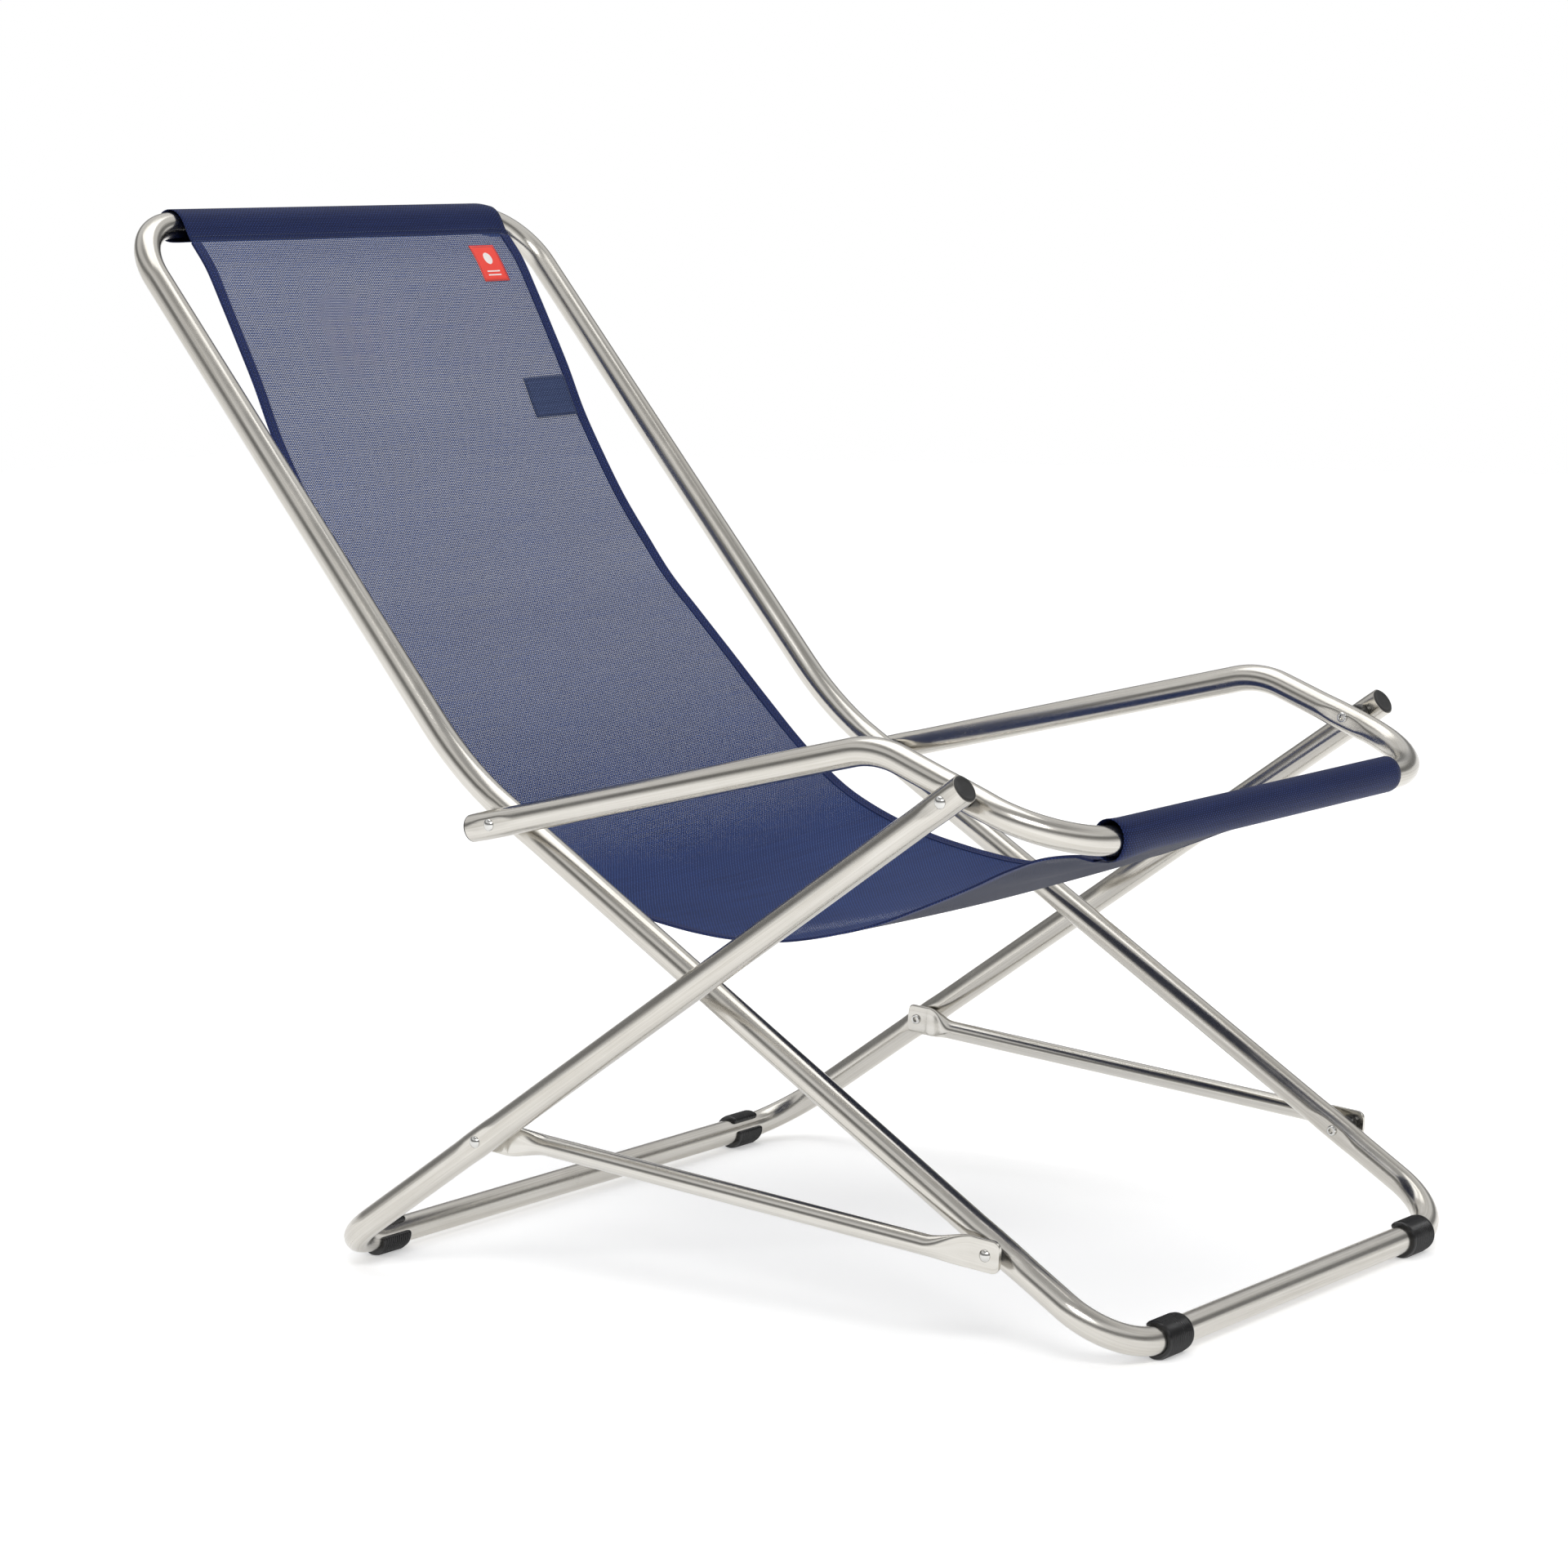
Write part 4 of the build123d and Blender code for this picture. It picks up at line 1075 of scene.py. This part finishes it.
def stitches(name, line, lift, length=2.6, gap=0.9, r=0.28):
    """line: list of (s, x) points; makes short thread segments along it."""
    b = Builder()
    pts = np.array(line, float)
    d = np.concatenate([[0], np.cumsum(np.linalg.norm(np.diff(pts, axis=0), axis=1))])
    pos, total = 0.0, d[-1]
    ang = np.linspace(0, 2 * math.pi, 6, endpoint=False)
    while pos + length < total:
        c = []
        for t, h in ((0, -0.32), (0.22, 0.12), (0.5, 0.2), (0.78, 0.12), (1, -0.32)):
            w = pos + length * t
            sx = (np.interp(w, d, pts[:, 0]), np.interp(w, d, pts[:, 1]))
            c.append(at_s(sx[0], sx[1], lift + h))
        c = np.array(c)
        T = np.gradient(c, axis=0)
        T /= np.linalg.norm(T, axis=1)[:, None]
        rings = []
        for k in range(5):
            n = np.cross(T[k], [0.3, 0.5, 0.8])
            n /= np.linalg.norm(n)
            m = np.cross(T[k], n)
            rr = r * (0.75 if k in (0, 4) else 1.0)
            rings.append(c[k] + rr * (np.cos(ang)[:, None] * n + np.sin(ang)[:, None] * m))
        bs = b.rings(rings)
        b.fan(bs[0], 6, c[0], flip=True)
        b.fan(bs[-1], 6, c[-1])
        pos += length + gap
    ob = b.make(name, THREAD)
    return ob


sew = []
S_A, S_B = S_MAIN0 + 6.0, S_MAIN1 - 4.0
ss = np.arange(S_A, S_B, 8.0)
for side, s in (("left", -1), ("right", 1)):
    sew.append(stitches("hem_stitch_" + side, [(v, s * (HALF + 0.6 - 5.7)) for v in ss], TH * 1.5 + 0.16))
sew.append(stitches("top_seam_stitch", [(S_MAIN0 + 2.2, v) for v in np.arange(-HALF + 3, HALF - 2, 6.0)], TH / 2 + 0.1))
sew.append(stitches("top_seam_stitch_b", [(S_MAIN0 - 2.2, v) for v in np.arange(-HALF + 3, HALF - 2, 6.0)], TH / 2 + 0.1))
sew.append(stitches("tab_stitch", [(s_tab - 17.2, 138.5), (s_tab + 17.2, 138.5), (s_tab + 17.2, HALF - 13), (s_tab - 17.2, HALF - 13), (s_tab - 17.2, 138.5)], TH + 1.1))
s0l, s1l = S_MAIN0 + 18.2, S_MAIN0 + 52.8
lab_st = stitches("label_stitch", [(s0l, 139.2), (s1l, 139.2), (s1l, 169.3), (s0l, 169.3), (s0l, 139.2)], TH + 0.6, 1.5, 0.5, 0.2)
sew.append(lab_st)

# --------------------------------------------------------------------------
# who rides on what
# --------------------------------------------------------------------------
end = (0.0, (478.0 - Y0) * MM, 0.300)
for ob in [sling] + hems + sew[:2]:
    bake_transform(ob)
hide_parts("sling_sheet", "top_sleeve", "front_sleeve")
for ob in (label, tab, sew[2], sew[3], sew[4], sew[5]):
    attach(ob, "back_frame")

for n in ("back_frame_joiner",):
    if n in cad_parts:
        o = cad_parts[n]
        o.data.materials.clear()
        o.data.materials.append(ALU)

# --------------------------------------------------------------------------
# stage, light, camera
# --------------------------------------------------------------------------


def floor_mat():
    m, nt, bs, out = new_mat("floor")
    bs.inputs["Base Color"].default_value = (0.93, 0.93, 0.93, 1)
    bs.inputs["Roughness"].default_value = 0.9
    bs.inputs["Specular IOR Level"].default_value = 0.1
    bs.inputs["Emission Color"].default_value = (1, 1, 1, 1)
    # painted light: the floor glows, a little more away from the chair
    ob = node(nt, "ShaderNodeTexCoord").outputs["Object"]
    ln = node(nt, "ShaderNodeVectorMath", operation="LENGTH")
    nt.links.new(ob, ln.inputs[0])
    mr = node(nt, "ShaderNodeMapRange")
    mr.interpolation_type = "SMOOTHSTEP"
    mr.inputs["From Min"].default_value = 0.5
    mr.inputs["From Max"].default_value = 2.0
    mr.inputs["To Min"].default_value = 0.41
    mr.inputs["To Max"].default_value = 0.47
    nt.links.new(ln.outputs["Value"], mr.inputs["Value"])
    nt.links.new(mr.outputs[0], bs.inputs["Emission Strength"])
    return m


fl = make_mesh("floor", [(-9000, -9000, 0), (9000, -9000, 0), (9000, 9000, 0), (-9000, 9000, 0)], [(0, 1, 2, 3)], None, False, floor_mat())

world = bpy.data.worlds.new("studio")
bpy.context.scene.world = world
world.use_nodes = True
wt = world.node_tree
wt.nodes.clear()
wo = wt.nodes.new("ShaderNodeOutputWorld")
bg = wt.nodes.new("ShaderNodeBackground")
tc = wt.nodes.new("ShaderNodeTexCoord")
sp = wt.nodes.new("ShaderNodeSeparateXYZ")
wt.links.new(tc.outputs["Generated"], sp.inputs[0])
h01 = mathn(wt, "ADD", mathn(wt, "MULTIPLY", sp.outputs[2], 0.5), 0.5)
# white sweep behind the chair, dark upper wall, bright ceiling
rear = ramp(wt, h01, [(0.0, 1.0), (0.565, 1.0), (0.595, 0.26), (0.70, 0.20), (0.75, 0.85), (0.86, 0.85), (1.0, 0.65)])
# grey room in front of it, darker above the table line
front = ramp(wt, h01, [(0.0, 0.85), (0.49, 0.85), (0.54, 0.64), (0.59, 0.19), (0.69, 0.19), (0.745, 0.88), (0.83, 0.9), (0.90, 0.35), (1.0, 0.50)])
# 1 towards the camera, 0 away from it
side = mathn(wt, "ADD", mathn(wt, "MULTIPLY", sp.outputs[0], -0.80), mathn(wt, "MULTIPLY", sp.outputs[1], -0.60))
side = mathn(wt, "ADD", mathn(wt, "MULTIPLY", side, 1.6), 0.75, clamp=True)
mixw = wt.nodes.new("ShaderNodeMix")
mixw.data_type = "RGBA"
wt.links.new(side, mixw.inputs[0])
wt.links.new(rear, mixw.inputs[6])
wt.links.new(front, mixw.inputs[7])
wt.links.new(mixw.outputs[2], bg.inputs[0])
bg.inputs[1].default_value = 1.0
wt.links.new(bg.outputs[0], wo.inputs[0])


def area(name, loc, target, size, power, color=(1, 1, 1)):
    d = bpy.data.lights.new(name, "AREA")
    d.shape = "RECTANGLE"
    d.size, d.size_y = size
    d.energy = power
    d.color = color
    o = bpy.data.objects.new(name, d)
    bpy.context.scene.collection.objects.link(o)
    o.location = loc
    o.rotation_euler = (Vector(target) - Vector(loc)).to_track_quat("-Z", "Y").to_euler()
    return o


area("key", (-2.4, -2.2, 2.7), (0, 0, 0.4), (1.7, 0.8), 46)
area("top", (0.2, 0.3, 3.2), (0, 0, 0.4), (2.4, 2.4), 30)

cam_d = bpy.data.cameras.new("camera")
cam = bpy.data.objects.new("camera", cam_d)
bpy.context.scene.collection.objects.link(cam)
AZ, EL, ROLL, F = -53.213785, 7.445354, -1.286033, 5400.0
TX, TY, TZ = 439.072716 * 0.88, -448.831117 * 0.88, 3817.195204 * 0.88
a, e, r = map(math.radians, (AZ, EL, ROLL))
back_v = np.array([math.sin(a) * math.cos(e), -math.cos(a) * math.cos(e), math.sin(e)])
fwd = -back_v
right = np.cross(fwd, [0, 0, 1.0])
right /= np.linalg.norm(right)
up = np.cross(right, fwd)
r2 = right * math.cos(r) + up * math.sin(r)
u2 = -right * math.sin(r) + up * math.cos(r)
Rm = np.array([r2, u2, fwd])
C = -Rm.T @ np.array([TX, TY, TZ]) - np.array([0, Y0, 0])
M = Matrix(((r2[0], u2[0], -fwd[0], C[0] * MM), (r2[1], u2[1], -fwd[1], C[1] * MM), (r2[2], u2[2], -fwd[2], C[2] * MM), (0, 0, 0, 1)))
cam.matrix_world = M
cam_d.sensor_width = 36.0
cam_d.lens = F * 36.0 / 1920.0
cam_d.clip_end = 100
bpy.context.scene.camera = cam
bpy.context.scene.view_settings.view_transform = "Standard"
